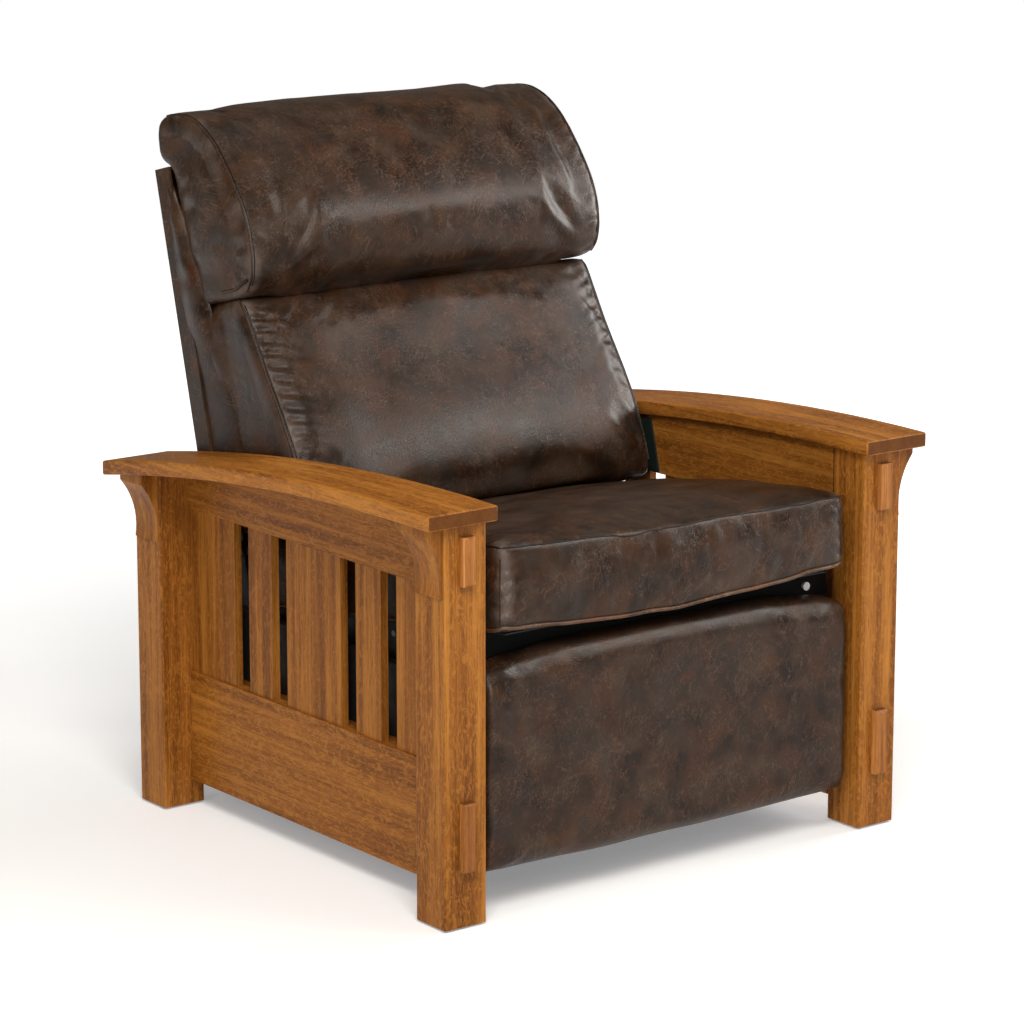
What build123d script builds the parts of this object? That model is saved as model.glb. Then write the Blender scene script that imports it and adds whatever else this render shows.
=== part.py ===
from build123d import *
import math
import os

# Mission reclining armchair, in millimetres.
# Working frame: X across the chair, Y from the front posts' front face to the back, Z up from the floor.
# At export everything moves in Y, so that the origin is the bottom centre of the overall box.

# Oak side frames
post_width = 68.0
post_depth = 65.0
posts_outer_width = 800.0
post_pitch = 680.0
post_edge_radius = 3.0
glide_height = 3.0
glide_radius = 16.0

panel_recess = 48.0
rail_thickness = 20.0
bottom_rail_low = 38.0
bottom_rail_high = 202.0
top_rail_low = 443.0
rail_tenon_length = 28.0
rail_tenon_thickness = 10.0
rail_tenon_shoulder = 14.0
slat_thickness = 12.0
slat_housing = 8.0
slot_width = 36.0
narrow_slat_width = 58.0
wide_slat_width = 130.0

arm_width = 113.0
arm_outer_overhang = 36.0
arm_front_overhang = 14.0
arm_rear_overhang = 30.0
arm_thickness = 21.0
arm_edge_radius = 3.0
arm_front_low = 548.0
arm_rear_low = 486.0
arm_bow = 20.0

corbel_height = 98.0
corbel_projection = 27.0
corbel_toe = 3.0
corbel_lip = 12.0
corbel_side_inset = 4.0
corbel_hollow = 8.0

tenon_block_width = 20.0
tenon_block_proud = 12.0
tenon_block_housing = 6.0
tenon_block_ease = 3.0
lower_tenon_low = 80.0
lower_tenon_height = 94.0
upper_tenon_low = 466.0
upper_tenon_height = 66.0

# Cross rails between the two sides
rear_stretcher_inset = 12.0
rear_stretcher_thickness = 22.0
rear_stretcher_low = 60.0
rear_stretcher_high = 276.0
middle_stretcher_y = 330.0
middle_stretcher_thickness = 22.0
middle_stretcher_low = 45.0
middle_stretcher_high = 115.0

# Runner tracks under the seat
steel = 3.0
cleat_thickness = 18.0
cleat_low = 140.0
cleat_high = 200.0
track_start = 72.0
track_end = 640.0
track_low = 150.0
track_channel_low = 271.0
track_channel_height = 31.0
track_flange = 18.0
runner_clearance = 0.6
runner_side_clearance = 2.0
runner_bar_width = 10.0
runner_neck_height = 7.0
runner_start = 150.0
runner_end = 560.0
screw_radius = 2.2
screw_head_radius = 4.5
screw_head_height = 2.5
screw_length = 15.0

# Seat: pitched down to the back about the bottom front edge of its cushion
seat_pitch = 7.5
seat_front_y = 9.0
seat_front_z = 385.0
seat_length = 595.0
seat_half_width = 308.0
seat_boxing = 112.0
seat_rear_fall = 12.0
seat_crown = 12.0
seat_corner_radius = 30.0
seat_side_draw = 5.0
seat_front_bulge = 5.0
seat_edge_radius = 6.0
seat_tuck_power = 12
seat_crown_run = 130.0
seat_boxing_shares = (0.0, 0.05, 0.35, 0.65, 0.96)
seat_crown_shares = (0.0, 0.15, 0.3, 0.5, 0.75, 1.0)
deck_thickness = 2.0
seat_rail_height = 30.0
seat_rail_thickness = 25.0
seat_deck_setback = 15.0
seat_front_rail_setback = 54.0
seat_front_rail_height = 38.0
seat_front_rail_thickness = 20.0
seat_front_rail_half_width = 318.0
plate_face = 286.0
side_gap = 0.2
bumper_radius = 6.0
bumper_height = 4.0
bumper_x = 277.0
bumper_rise = 17.5

# Sinuous springs
wire_radius = 1.8
spring_pitch = 24.0
spring_reach = 22.0
spring_depth = 12.0
seat_spring_spacing = 100.0
seat_spring_count = 5
back_spring_spacing = 110.0
clip_width = 14.0
clip_length = 9.0
clip_half_height = 4.0
clip_clearance = 0.1
back_spring_count = 4

# Footrest linkage: a double parallelogram on each side, folded behind the footrest
pivot_radius = 5.0
pivot_head_radius = 8.0
pivot_head_height = 2.2
running_clearance = 0.05
open_pivot_clearance = 0.4
link_half_width = 9.0
link_gap = 3.0
rear_pivot_y = 150.0
rear_pivot_z = 318.0
guide_spacing = 52.0
rear_link_length = 277.0
rear_link_angle = -65.5
tilt_offset = 60.0
footrest_pivot_y = 112.0
footrest_pivot_z = 215.0
torsion_tube_radius = 9.0
torsion_tube_wall = 2.0

# Footrest
footrest_low = 52.0
footrest_high = 346.0
footrest_front = 15.0
footrest_pad_back = 57.0
footrest_board_thickness = 18.0
footrest_half_width = 320.0
footrest_corner_radius = 16.0
footrest_board_margin = 12.0
footrest_board_side_margin = 30.0
bracket_flange_width = 26.0
bracket_flange_height = 100.0

# Back: raked, hinged on the seat plates behind the seat
hinge_y = 652.0
hinge_z = 375.0
hinge_radius = 6.0
hinge_eye_radius = 16.0
plate_edge_step = 1.0
plate_front_margin = 4.0
hinge_head_radius = 10.0
hinge_head_height = 4.0
back_rake = 14.0
back_rear = 26.0
back_panel_thickness = 4.0
back_cover_depth = 38.0
back_cover_edge = 3.0
back_cover_low = 20.0
back_apron_drop = 80.0
back_apron_slot_gap = 11.0
back_height = 560.0
back_half_width = 314.0
back_post_width = 34.0
back_post_low = 24.0
back_rail_height = 50.0
back_bottom_rail_low = 60.0
back_deck_thickness = 4.0
back_bracket_reach = 150.0
back_bracket_half_width = 15.0
guide_strap_y = 446.0
guide_strap_low = 446.0
guide_strap_width = 32.0
back_cushion_low = 447.0
pillow_half_width = 318.0
skin = 3.0
foam_clearance = 0.8
corner_limit_share = 0.6
cut_overrun = 1.0

# Places worked out from the sizes above
outer_face = posts_outer_width / 2
inner_face = outer_face - post_width
post_centre_x = outer_face - post_width / 2
arm_outer = outer_face + arm_outer_overhang
arm_inner = arm_outer - arm_width
arm_rear_y = post_pitch + post_depth + arm_rear_overhang
panel_outer = outer_face - panel_recess
panel_inner = panel_outer - rail_thickness
panel_centre_x = (panel_outer + panel_inner) / 2
plate_inner = plate_face - steel
outer_link_low = plate_inner - link_gap - steel
inner_link_low = outer_link_low - link_gap - steel
rake = math.radians(back_rake)
pitch = math.radians(seat_pitch)
back_front = back_rear - back_cover_depth


def seat_point(along, up):
    """A point (y, z) of the pitched seat: along runs to the back, up stands square to it."""
    y = seat_front_y + along * math.cos(pitch) + up * math.sin(pitch)
    z = seat_front_z - along * math.sin(pitch) + up * math.cos(pitch)
    return (y, z)


def back_point(behind, up):
    """A point (y, z) of the raked back, from its hinge."""
    y = hinge_y + behind * math.cos(rake) + up * math.sin(rake)
    z = hinge_z - behind * math.sin(rake) + up * math.cos(rake)
    return (y, z)


def block(x_span, y_span, z_span):
    """A box between two corners, given as spans."""
    size = [high - low for low, high in (x_span, y_span, z_span)]
    middle = [(high + low) / 2 for low, high in (x_span, y_span, z_span)]
    return Pos(*middle) * Box(*size)


def side_shape(outline, x_low, x_high):
    """An outline in the (y, z) plane, given thickness across the chair."""
    return extrude(Plane.YZ.offset(x_low) * outline, x_high - x_low)


def polygon(points):
    return make_face(Polyline(*points, close=True))


def frame_block(point, x_span, first_span, up_span):
    """A box in the seat's or the back's own tilted directions."""
    corners = [
        point(first_span[0], up_span[0]),
        point(first_span[1], up_span[0]),
        point(first_span[1], up_span[1]),
        point(first_span[0], up_span[1]),
    ]
    return side_shape(polygon(corners), *x_span)


def rod(y, z, radius, x_low, x_high):
    """A round bar across the chair."""
    return side_shape(Pos(y, z) * Circle(radius), x_low, x_high)


def both_sides(right_solids):
    """Solids of the right side with their mirror images."""
    right = [solid for shape in right_solids for solid in shape.solids()]
    left = [mirror(solid, about=Plane.YZ) for solid in right]
    return right + left


# Side frames

arm_low_arc = ThreePointArc(
    (-arm_front_overhang, arm_front_low),
    ((arm_rear_y - arm_front_overhang) / 2, (arm_front_low + arm_rear_low) / 2 + arm_bow),
    (arm_rear_y, arm_rear_low),
)


def arm_board():
    high_arc = Pos(0, arm_thickness) * arm_low_arc
    front_end = Line(arm_low_arc @ 0, high_arc @ 0)
    rear_end = Line(arm_low_arc @ 1, high_arc @ 1)
    board = side_shape(make_face([arm_low_arc, front_end, high_arc, rear_end]), arm_inner, arm_outer)
    return fillet(board.edges(), arm_edge_radius)


def under_arm():
    """All the room below the arm board, which posts, top rail and corbels are trimmed to."""
    front_drop = Line((-arm_front_overhang, 0), arm_low_arc @ 0)
    floor_line = Line((-arm_front_overhang, 0), (arm_rear_y, 0))
    rear_drop = Line((arm_rear_y, 0), arm_low_arc @ 1)
    return side_shape(make_face([front_drop, arm_low_arc, rear_drop, floor_line]), 0, arm_outer)


def side_rail(z_low, z_high):
    """A side rail with a stub tenon at each end."""
    body = block((panel_inner, panel_outer), (post_depth, post_pitch), (z_low, z_high))
    tenon = block(
        (panel_centre_x - rail_tenon_thickness / 2, panel_centre_x + rail_tenon_thickness / 2),
        (post_depth - rail_tenon_length, post_pitch + rail_tenon_length),
        (z_low + rail_tenon_shoulder, z_high - 2 * rail_tenon_shoulder),
    )
    return body + tenon


def slat_spans():
    """Where the five slats stand, front to back, with a slot between each two."""
    middle = (post_depth + post_pitch) / 2
    wide_half = wide_slat_width / 2
    near = middle - wide_half - slot_width
    far = middle + wide_half + slot_width
    return [
        (post_depth, near - narrow_slat_width - slot_width),
        (near - narrow_slat_width, near),
        (middle - wide_half, middle + wide_half),
        (far, far + narrow_slat_width),
        (far + narrow_slat_width + slot_width, post_pitch),
    ]


def side_slats():
    x_span = (panel_centre_x - slat_thickness / 2, panel_centre_x + slat_thickness / 2)
    z_span = (bottom_rail_high - slat_housing, top_rail_low + slat_housing)
    return [block(x_span, y_span, z_span) for y_span in slat_spans()]


def post(y_low):
    body = block((inner_face, outer_face), (y_low, y_low + post_depth), (glide_height, arm_front_low))
    return fillet(body.edges().filter_by(Axis.Z), post_edge_radius)


def tenon_block(z_low, height):
    """A tenon end that stands proud of the front post, with an eased face."""
    body = block(
        (post_centre_x - tenon_block_width / 2, post_centre_x + tenon_block_width / 2),
        (-tenon_block_proud, tenon_block_housing),
        (z_low, z_low + height),
    )
    return chamfer(body.faces().sort_by(Axis.Y)[0].edges(), tenon_block_ease)


def corbel(y_low):
    """A curved bracket on a post's outer face, under the arm."""
    top = arm_front_low
    low = arm_low_at(y_low + post_depth / 2) - corbel_height
    lip_z = low + corbel_height - corbel_lip
    toe = (outer_face + corbel_toe, low)
    lip = (outer_face + corbel_projection, lip_z)
    hollow = (
        outer_face + (corbel_toe + corbel_projection) / 2 - corbel_hollow,
        (low + lip_z) / 2 + corbel_hollow,
    )
    outline = make_face(
        [
            Line((outer_face, low), toe),
            ThreePointArc(toe, hollow, lip),
            Line(lip, (outer_face + corbel_projection, top)),
            Line((outer_face + corbel_projection, top), (outer_face, top)),
            Line((outer_face, top), (outer_face, low)),
        ]
    )
    depth = post_depth - 2 * corbel_side_inset
    y_high = y_low + post_depth - corbel_side_inset
    return extrude(Plane.XZ.offset(-y_high) * outline, depth)


def arm_low_at(y):
    """Height of the arm board's underside at a place along the chair."""
    centre = arm_low_arc.arc_center
    return centre.Y + math.sqrt(arm_low_arc.radius**2 - (y - centre.X) ** 2)


room = under_arm()
arm_right = arm_board()
rail_top = side_rail(top_rail_low, arm_front_low + arm_bow) & room
rail_bottom = side_rail(bottom_rail_low, bottom_rail_high)
slats = side_slats()
for slat in slats:
    rail_top -= slat
    rail_bottom -= slat
tenon_blocks = [
    tenon_block(lower_tenon_low, lower_tenon_height),
    tenon_block(upper_tenon_low, upper_tenon_height),
]
post_front = (post(0) & room) - rail_top - rail_bottom
for tenon in tenon_blocks:
    post_front -= tenon
post_back = (post(post_pitch) & room) - rail_top - rail_bottom
corbels = [corbel(0) & room, corbel(post_pitch) & room]
glides = [
    Pos(post_centre_x, y_low + post_depth / 2, glide_height / 2) * Cylinder(glide_radius, glide_height)
    for y_low in (0, post_pitch)
]

# Cross rails, cleats and runner tracks

rear_stretcher_y = post_pitch + rear_stretcher_inset
rear_stretcher = block(
    (-inner_face, inner_face),
    (rear_stretcher_y, rear_stretcher_y + rear_stretcher_thickness),
    (rear_stretcher_low, rear_stretcher_high),
)
middle_stretcher = block(
    (-panel_inner, panel_inner),
    (middle_stretcher_y, middle_stretcher_y + middle_stretcher_thickness),
    (middle_stretcher_low, middle_stretcher_high),
)

cleat_face = panel_inner - cleat_thickness
web_face = cleat_face - steel
channel_mouth = cleat_face - track_flange
channel_top = track_channel_low + track_channel_height


def screw(y, z, head_face):
    """A screw driven outwards into the side, its head standing on head_face."""
    head = rod(y, z, screw_head_radius, head_face - screw_head_height, head_face)
    return head + rod(y, z, screw_radius, head_face, head_face + screw_length)


def track():
    """A channel, open towards the seat, on a web that is screwed to the cleat."""
    y_span = (track_start, track_end)
    web = block((web_face, cleat_face), y_span, (track_low, channel_top))
    top = block((channel_mouth, cleat_face), y_span, (channel_top - steel, channel_top))
    low = block((channel_mouth, cleat_face), y_span, (track_channel_low, track_channel_low + steel))
    return web + top + low


track_screw_shares = (0.08, 0.36, 0.64, 0.92)
track_screw_z = (cleat_high + track_low) / 2
track_screws = [
    screw(track_start + share * (track_end - track_start), track_screw_z, web_face)
    for share in track_screw_shares
]
cleat = block((cleat_face, panel_inner), (post_depth, track_end), (cleat_low, cleat_high))
track_right = track()
for fastener in track_screws:
    cleat -= fastener
    track_right -= fastener

strap_top = arm_low_at(guide_strap_y + 2 * guide_strap_width) - runner_side_clearance
strap_lean = (strap_top - guide_strap_low) * math.tan(math.radians(back_rake))
guide_strap = side_shape(
    polygon(
        [
            (guide_strap_y, guide_strap_low),
            (guide_strap_y + guide_strap_width, guide_strap_low),
            (guide_strap_y + guide_strap_width + strap_lean, strap_top),
            (guide_strap_y + strap_lean, strap_top),
        ]
    ),
    panel_inner - steel,
    panel_inner,
)

# Footrest linkage, worked out in the (y, z) plane of the right side

link_angle = math.radians(rear_link_angle)
link_direction = (math.cos(link_angle), math.sin(link_angle))
rear_pivot = (rear_pivot_y, rear_pivot_z)
guide_pivot = (rear_pivot_y - guide_spacing, rear_pivot_z)
knee = (
    rear_pivot_y + rear_link_length * link_direction[0],
    rear_pivot_z + rear_link_length * link_direction[1],
)
guide_knee = (knee[0] - guide_spacing, knee[1])
footrest_pivot = (footrest_pivot_y, footrest_pivot_z)
tilt_knee = (knee[0] - tilt_offset * link_direction[0], knee[1] - tilt_offset * link_direction[1])
tilt_pivot = (
    footrest_pivot_y - tilt_offset * link_direction[0],
    footrest_pivot_z - tilt_offset * link_direction[1],
)


def link(points, hole_radii, x_low):
    """A flat steel link round its pivots, with a hole for each."""
    outline = make_hull([edge for point in points for edge in (Pos(*point) * Circle(link_half_width)).edges()])
    plate = side_shape(outline, x_low, x_low + steel)
    for point, radius in zip(points, hole_radii):
        plate -= rod(*point, radius, x_low - cut_overrun, x_low + steel + cut_overrun)
    return plate


def pivot_pin(point, outer_span, inner_span, outer_gap, inner_gap):
    """A shouldered pin through two plates: the one with no gap holds it, and it runs in the other."""
    y, z = point
    outer_low = outer_span[1] + outer_gap
    inner_high = inner_span[0] - inner_gap
    pin = rod(y, z, pivot_radius, inner_high, outer_low)
    pin += rod(y, z, pivot_head_radius, outer_low, outer_low + pivot_head_height)
    pin += rod(y, z, pivot_head_radius, inner_span[1] + inner_gap, outer_span[0] - outer_gap)
    return pin + rod(y, z, pivot_head_radius, inner_high - pivot_head_height, inner_high)


running_radius = pivot_radius + running_clearance
open_radius = pivot_radius + open_pivot_clearance
plate_span = (plate_inner, plate_face)
outer_link_span = (outer_link_low, outer_link_low + steel)
inner_link_span = (inner_link_low, inner_link_low + steel)

rear_link = link(
    (rear_pivot, tilt_knee, knee), (running_radius, pivot_radius, pivot_radius), outer_link_low
)
guide_link = link((guide_pivot, guide_knee), (running_radius, open_radius), outer_link_low)
front_link = link(
    (knee, guide_knee, footrest_pivot), (running_radius, pivot_radius, running_radius), inner_link_low
)
tilt_link = link((tilt_knee, tilt_pivot), (running_radius, open_radius), inner_link_low)

seat_pivot_pins = [pivot_pin(guide_pivot, plate_span, outer_link_span, 0, side_gap)]
rear_pin_end = outer_link_low + side_gap
rear_pin = rod(*rear_pivot, pivot_head_radius, plate_face, plate_face + pivot_head_height)
rear_pin += rod(*rear_pivot, pivot_radius, rear_pin_end, plate_face)
rear_pin += rod(*rear_pivot, pivot_head_radius, outer_link_span[1] + side_gap, plate_inner)
seat_pivot_pins.append(rear_pin)
rear_link_pins = [
    pivot_pin(point, outer_link_span, inner_link_span, 0, side_gap) for point in (knee, tilt_knee)
]
front_link_pins = [pivot_pin(guide_knee, outer_link_span, inner_link_span, side_gap, 0)]
footrest_pins = [
    pivot_pin(point, outer_link_span, inner_link_span, 0, side_gap)
    for point in (footrest_pivot, tilt_pivot)
]
torsion_tube = rod(*rear_pivot, torsion_tube_radius, -outer_link_low, outer_link_low)
tube_bore_radius = torsion_tube_radius - torsion_tube_wall
torsion_tube -= rod(*rear_pivot, tube_bore_radius, -outer_link_low - cut_overrun, outer_link_low + cut_overrun)

# Seat frame and mechanism plates

rail_up = (-deck_thickness - seat_rail_height, -deck_thickness)
front_rail_up = (-deck_thickness - seat_front_rail_height, -deck_thickness)
front_rail_along = (seat_front_rail_setback, seat_front_rail_setback + seat_front_rail_thickness)
rear_rail_along = (seat_length - seat_rail_thickness, seat_length)
side_rail_x = (plate_inner - seat_rail_thickness, plate_inner)
seat_front_rail = frame_block(
    seat_point, (-seat_front_rail_half_width, seat_front_rail_half_width), front_rail_along, front_rail_up
)
seat_rear_rail = frame_block(seat_point, (-plate_inner, plate_inner), rear_rail_along, rail_up)
seat_side_rail = frame_block(
    seat_point, side_rail_x, (front_rail_along[1], rear_rail_along[0]), rail_up
)
seat_deck = frame_block(
    seat_point, (-plate_inner, plate_inner), (seat_deck_setback, seat_length), (-deck_thickness, 0)
)
bumper_y, bumper_z = seat_point(front_rail_along[0], front_rail_up[0] + bumper_rise)
bumper = Plane.XZ.offset(-bumper_y - bumper_height) * (Pos(bumper_x, bumper_z) * Circle(bumper_radius))
bumper = extrude(bumper, 2 * bumper_height) - seat_front_rail


def seat_plate():
    """The steel plate outside each seat rail, which holds the runner, the linkage and the back."""
    step = link_half_width + pivot_head_radius
    front_y = guide_pivot[0] - link_half_width - plate_front_margin
    rear_y, rear_top = seat_point(rear_rail_along[0], rail_up[1])
    front_top = rear_top + (rear_y - front_y) * math.tan(pitch)
    side = [
        (front_y, rear_pivot_z - step),
        (rear_pivot_y + step, rear_pivot_z - step),
        (rear_pivot_y + 2 * step, track_channel_low),
        (rear_y, track_channel_low),
        (rear_y, rear_top),
        (front_y, front_top),
    ]
    arm_z = track_channel_low + hinge_eye_radius + plate_edge_step
    arm_knee_y = seat_point(seat_length, 0)[0] + 2 * hinge_eye_radius
    turns = [(rear_y - 2 * hinge_eye_radius, arm_z), (arm_knee_y, arm_z), (hinge_y, hinge_z)]
    rings = [(Pos(*turn) * Circle(hinge_eye_radius)).edges() for turn in turns]
    outline = polygon(side) + make_hull(rings[0] + rings[1]) + make_hull(rings[1] + rings[2])
    return side_shape(outline, *plate_span)


plate_screw_shares = (0.10, 0.38, 0.66, 0.94)
plate_screw_up = (rail_up[0] + rail_up[1]) / 2
plate_screws = []
for share in plate_screw_shares:
    screw_along = front_rail_along[1] + share * (rear_rail_along[0] - front_rail_along[1])
    head_out = screw(*seat_point(screw_along, plate_screw_up), -plate_face)
    plate_screws.append(mirror(head_out, about=Plane.YZ))
back_bracket_x = (plate_inner - side_gap - steel, plate_inner - side_gap)
hinge_bolt = rod(hinge_y, hinge_z, hinge_head_radius, plate_face, plate_face + hinge_head_height)
hinge_bolt += rod(hinge_y, hinge_z, hinge_radius, back_bracket_x[0] - hinge_head_height, plate_face)
hinge_nut_face = back_bracket_x[0] - side_gap
hinge_bolt += rod(hinge_y, hinge_z, hinge_head_radius, hinge_nut_face - hinge_head_height, hinge_nut_face)
plate_right = seat_plate()
for fastener in plate_screws + seat_pivot_pins + [hinge_bolt]:
    plate_right -= fastener
for fastener in plate_screws:
    seat_side_rail -= fastener

runner_low = track_channel_low + steel + runner_clearance
runner_high = channel_top - steel - runner_clearance
runner_outer = web_face - runner_side_clearance
runner_inner = runner_outer - runner_bar_width
runner_middle = (runner_low + runner_high) / 2
runner = block((runner_inner, runner_outer), (runner_start, runner_end), (runner_low, runner_high))
runner += block(
    (plate_face, runner_inner),
    (runner_start, runner_end),
    (runner_middle - runner_neck_height / 2, runner_middle + runner_neck_height / 2),
)


def spring_path(length):
    """A flat serpentine wire from one rail to the other, along local X."""
    bend = spring_pitch / 2
    turns = int((length - 2 * (bend + clip_length)) // spring_pitch)
    lead = (length - turns * spring_pitch) / 2 - bend
    quarter = bend * math.sqrt(0.5)
    at = lead
    sign = 1
    edges = [
        Line((0, 0), (lead, 0)),
        ThreePointArc((lead, 0), (lead + quarter, bend - quarter), (lead + bend, bend)),
        Line((lead + bend, bend), (lead + bend, spring_reach)),
    ]
    at = lead + bend
    for turn in range(turns):
        far = sign * spring_reach
        edges.append(
            ThreePointArc((at, far), (at + bend, far + sign * bend), (at + spring_pitch, far))
        )
        at += spring_pitch
        if turn < turns - 1:
            edges.append(Line((at, far), (at, -far)))
            sign = -sign
    edges.append(Line((at, far), (at, sign * bend)))
    edges.append(
        ThreePointArc((at, sign * bend), (at + bend - quarter, sign * (bend - quarter)), (at + bend, 0))
    )
    edges.append(Line((at + bend, 0), (length, 0)))
    return Wire(edges)


def spring(length, start_yz, along_yz, x):
    """One sinuous spring that starts at a point and runs along a direction of the (y, z) plane."""
    path = spring_path(length)
    wire = sweep(Plane(origin=path @ 0, z_dir=path % 0) * Circle(wire_radius), path=path)
    up = (-along_yz[1], along_yz[0])
    place = Plane(origin=(x, *start_yz), x_dir=(0, *along_yz), z_dir=(0, *up))
    return place * wire


seat_direction = (math.cos(pitch), -math.sin(pitch))
seat_spring_length = rear_rail_along[0] - front_rail_along[1]
seat_spring_start = seat_point(front_rail_along[1], -deck_thickness - spring_depth)
seat_spring = spring(seat_spring_length, seat_spring_start, seat_direction, 0)
seat_springs = [
    Pos((number - (seat_spring_count - 1) / 2) * seat_spring_spacing, 0, 0) * seat_spring
    for number in range(seat_spring_count)
]

# Soft parts: lofts through sections that each run from a front point to a rear point


def soft_section(front, rear, half_width, crown, corner, draw):
    """A section across the chair: crowned in front, drawn in at the sides, square behind."""
    length = math.dist(front, rear)
    corner = min(corner, corner_limit_share * length)
    back_corner = corner / 4
    quarter = 1 - math.sqrt(0.5)
    points = {
        "front_left": (-half_width + corner, 0),
        "front_right": (half_width - corner, 0),
        "right_front": (half_width, corner),
        "right_back": (half_width, length - back_corner),
        "back_right": (half_width - back_corner, length),
        "back_left": (-half_width + back_corner, length),
        "left_back": (-half_width, length - back_corner),
        "left_front": (-half_width, corner),
    }
    middle = (corner + length - back_corner) / 2
    far = quarter * back_corner
    near = quarter * corner
    edges = [
        ThreePointArc(points["front_left"], (0, -crown), points["front_right"]),
        ThreePointArc(points["front_right"], (half_width - near, near), points["right_front"]),
        ThreePointArc(points["right_front"], (half_width - draw, middle), points["right_back"]),
        ThreePointArc(points["right_back"], (half_width - far, length - far), points["back_right"]),
        Line(points["back_right"], points["back_left"]),
        ThreePointArc(points["back_left"], (-half_width + far, length - far), points["left_back"]),
        ThreePointArc(points["left_back"], (-half_width + draw, middle), points["left_front"]),
        ThreePointArc(points["left_front"], (-half_width + near, near), points["front_left"]),
    ]
    direction = ((rear[0] - front[0]) / length, (rear[1] - front[1]) / length)
    place = Plane(
        origin=(0, *front), x_dir=(1, 0, 0), z_dir=(0, -direction[1], direction[0])
    )
    return place * make_face(edges)


def drawn_in(profile, number, centre, inset):
    """How far a profile's point moves when the whole form is drawn in all round by inset."""
    last = len(profile) - 1
    place = Vector(*profile[number])
    arriving = place - Vector(*profile[max(number - 1, 0)])
    leaving = Vector(*profile[min(number + 1, last)]) - place
    steps = [step.normalized() for step in (arriving, leaving) if step.length > 0]
    tangent = (steps[0] + steps[-1]).normalized()
    normal = Vector(-tangent.Y, tangent.X)
    if normal.dot(centre - place) < 0:
        normal = -normal
    end = {0: 1, last: -1}.get(number, 0)
    return normal * (inset / tangent.dot(steps[0])) + tangent * (inset * end)


def deepened(move, up, lift):
    """A point's move, taken at least as far along the stack of sections as the sides go."""
    short = lift - move.dot(up)
    return move + up * short if short * lift > 0 else move


def soft_block(stations, corner, draw, inset):
    """A soft form through its stations, or the same form drawn in all round by inset."""
    fronts = [station[0] for station in stations]
    rears = [station[1] for station in stations]
    middles = [(Vector(*front) + Vector(*rear)) / 2 for front, rear in zip(fronts, rears)]
    sides = [(station[2], (middle - middles[0]).length) for station, middle in zip(stations, middles)]
    core = sum(middles, Vector()) / len(middles)
    side_core = Vector(0, sides[-1][1] / 2)
    last = len(stations) - 1
    sections = []
    for number, (front, rear, half_width, crown) in enumerate(stations):
        up = (middles[min(number + 1, last)] - middles[max(number - 1, 0)]).normalized()
        side_move = drawn_in(sides, number, side_core, inset)
        front_move = deepened(drawn_in(fronts, number, core, inset), up, side_move.Y)
        rear_move = deepened(drawn_in(rears, number, core, inset), up, side_move.Y)
        sections.append(
            soft_section(
                (front[0] + front_move.X, front[1] + front_move.Y),
                (rear[0] + rear_move.X, rear[1] + rear_move.Y),
                half_width + side_move.X,
                crown,
                corner,
                draw,
            )
        )
    return loft(sections, ruled=True)


def cover_and_core(stations, corner, draw):
    """A cushion's leather cover as a closed shell, and the foam inside it."""
    cover = soft_block(stations, corner, draw, 0) - soft_block(stations, corner, draw, skin)
    return cover, soft_block(stations, corner, draw, skin + foam_clearance)


def seat_stations():
    """From the deck up: the bottom, the boxing between its two welts, and the crowned top."""
    forward = seat_boxing * math.tan(pitch)
    rear_boxing = seat_boxing - seat_rear_fall
    stations = []
    for share in seat_boxing_shares:
        swell = seat_front_bulge * math.sin(math.pi * share)
        tuck = seat_edge_radius * (1 - share) ** seat_tuck_power
        stations.append(
            (
                seat_point(tuck - forward * share - swell, seat_boxing * share),
                seat_point(seat_length - tuck, rear_boxing * share),
                seat_half_width - tuck,
                seat_front_bulge,
            )
        )
    for share in seat_crown_shares:
        rise = seat_crown * math.sin(math.pi / 2 * share)
        run = seat_crown_run * (1 - math.cos(math.pi / 2 * share))
        stations.append(
            (
                seat_point(run - forward, seat_boxing + rise),
                seat_point(seat_length - run, rear_boxing + rise),
                seat_half_width - run,
                seat_front_bulge,
            )
        )
    return stations


seat_cushion_cover, seat_cushion_foam = cover_and_core(seat_stations(), seat_corner_radius, seat_side_draw)

# Lower back cushion: the front line leans more than the frame, so it is a wedge
back_cushion_front_y = 440.0
back_cushion_top_front_y = 586.0
back_cushion_top_front_z = 760.0
back_cushion_crown = 16.0
back_cushion_corner = 14.0
back_cushion_draw = 3.0
back_cushion_half_width = 315.0
back_cushion_roll = 16.0
back_cushion_top_rear_drop = 48.0
# Rows from the bottom to the top: (share of height, setback as a share of the roll)
back_cushion_row_shares = ((0.0, 0.9), (0.05, 0.0), (0.3, -0.45), (0.6, -0.5), (0.9, 0.05), (1.0, 1.0))


def back_line_y(z):
    """The plane in front of the back's frame, where both back cushions end."""
    y, base_z = back_point(back_front, 0)
    return y + (z - base_z) * math.tan(rake)


def back_cushion_stations():
    stations = []
    rise = back_cushion_top_front_z - back_cushion_low
    run = back_cushion_top_front_y - back_cushion_front_y
    for share, roll_share in back_cushion_row_shares:
        setback = roll_share * back_cushion_roll
        front = (back_cushion_front_y + share * run + setback, back_cushion_low + share * rise)
        rear_z = front[1] - share * back_cushion_top_rear_drop
        rear = (back_line_y(rear_z), rear_z)
        stations.append((front, rear, back_cushion_half_width, back_cushion_crown))
    return stations


back_cushion_cover, back_cushion_foam = cover_and_core(
    back_cushion_stations(), back_cushion_corner, back_cushion_draw
)

# Head pillow: a half-round bolster in the back's own directions, and a lip over the frame's top
pillow_low = 375.0
pillow_height = 236.0
pillow_depth = 195.0
pillow_lip_height = 65.0
pillow_lip_reach = 23.0
pillow_lip_gap = 1.0
pillow_crown = 7.0
pillow_corner = 14.0
pillow_draw = 2.0
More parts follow.
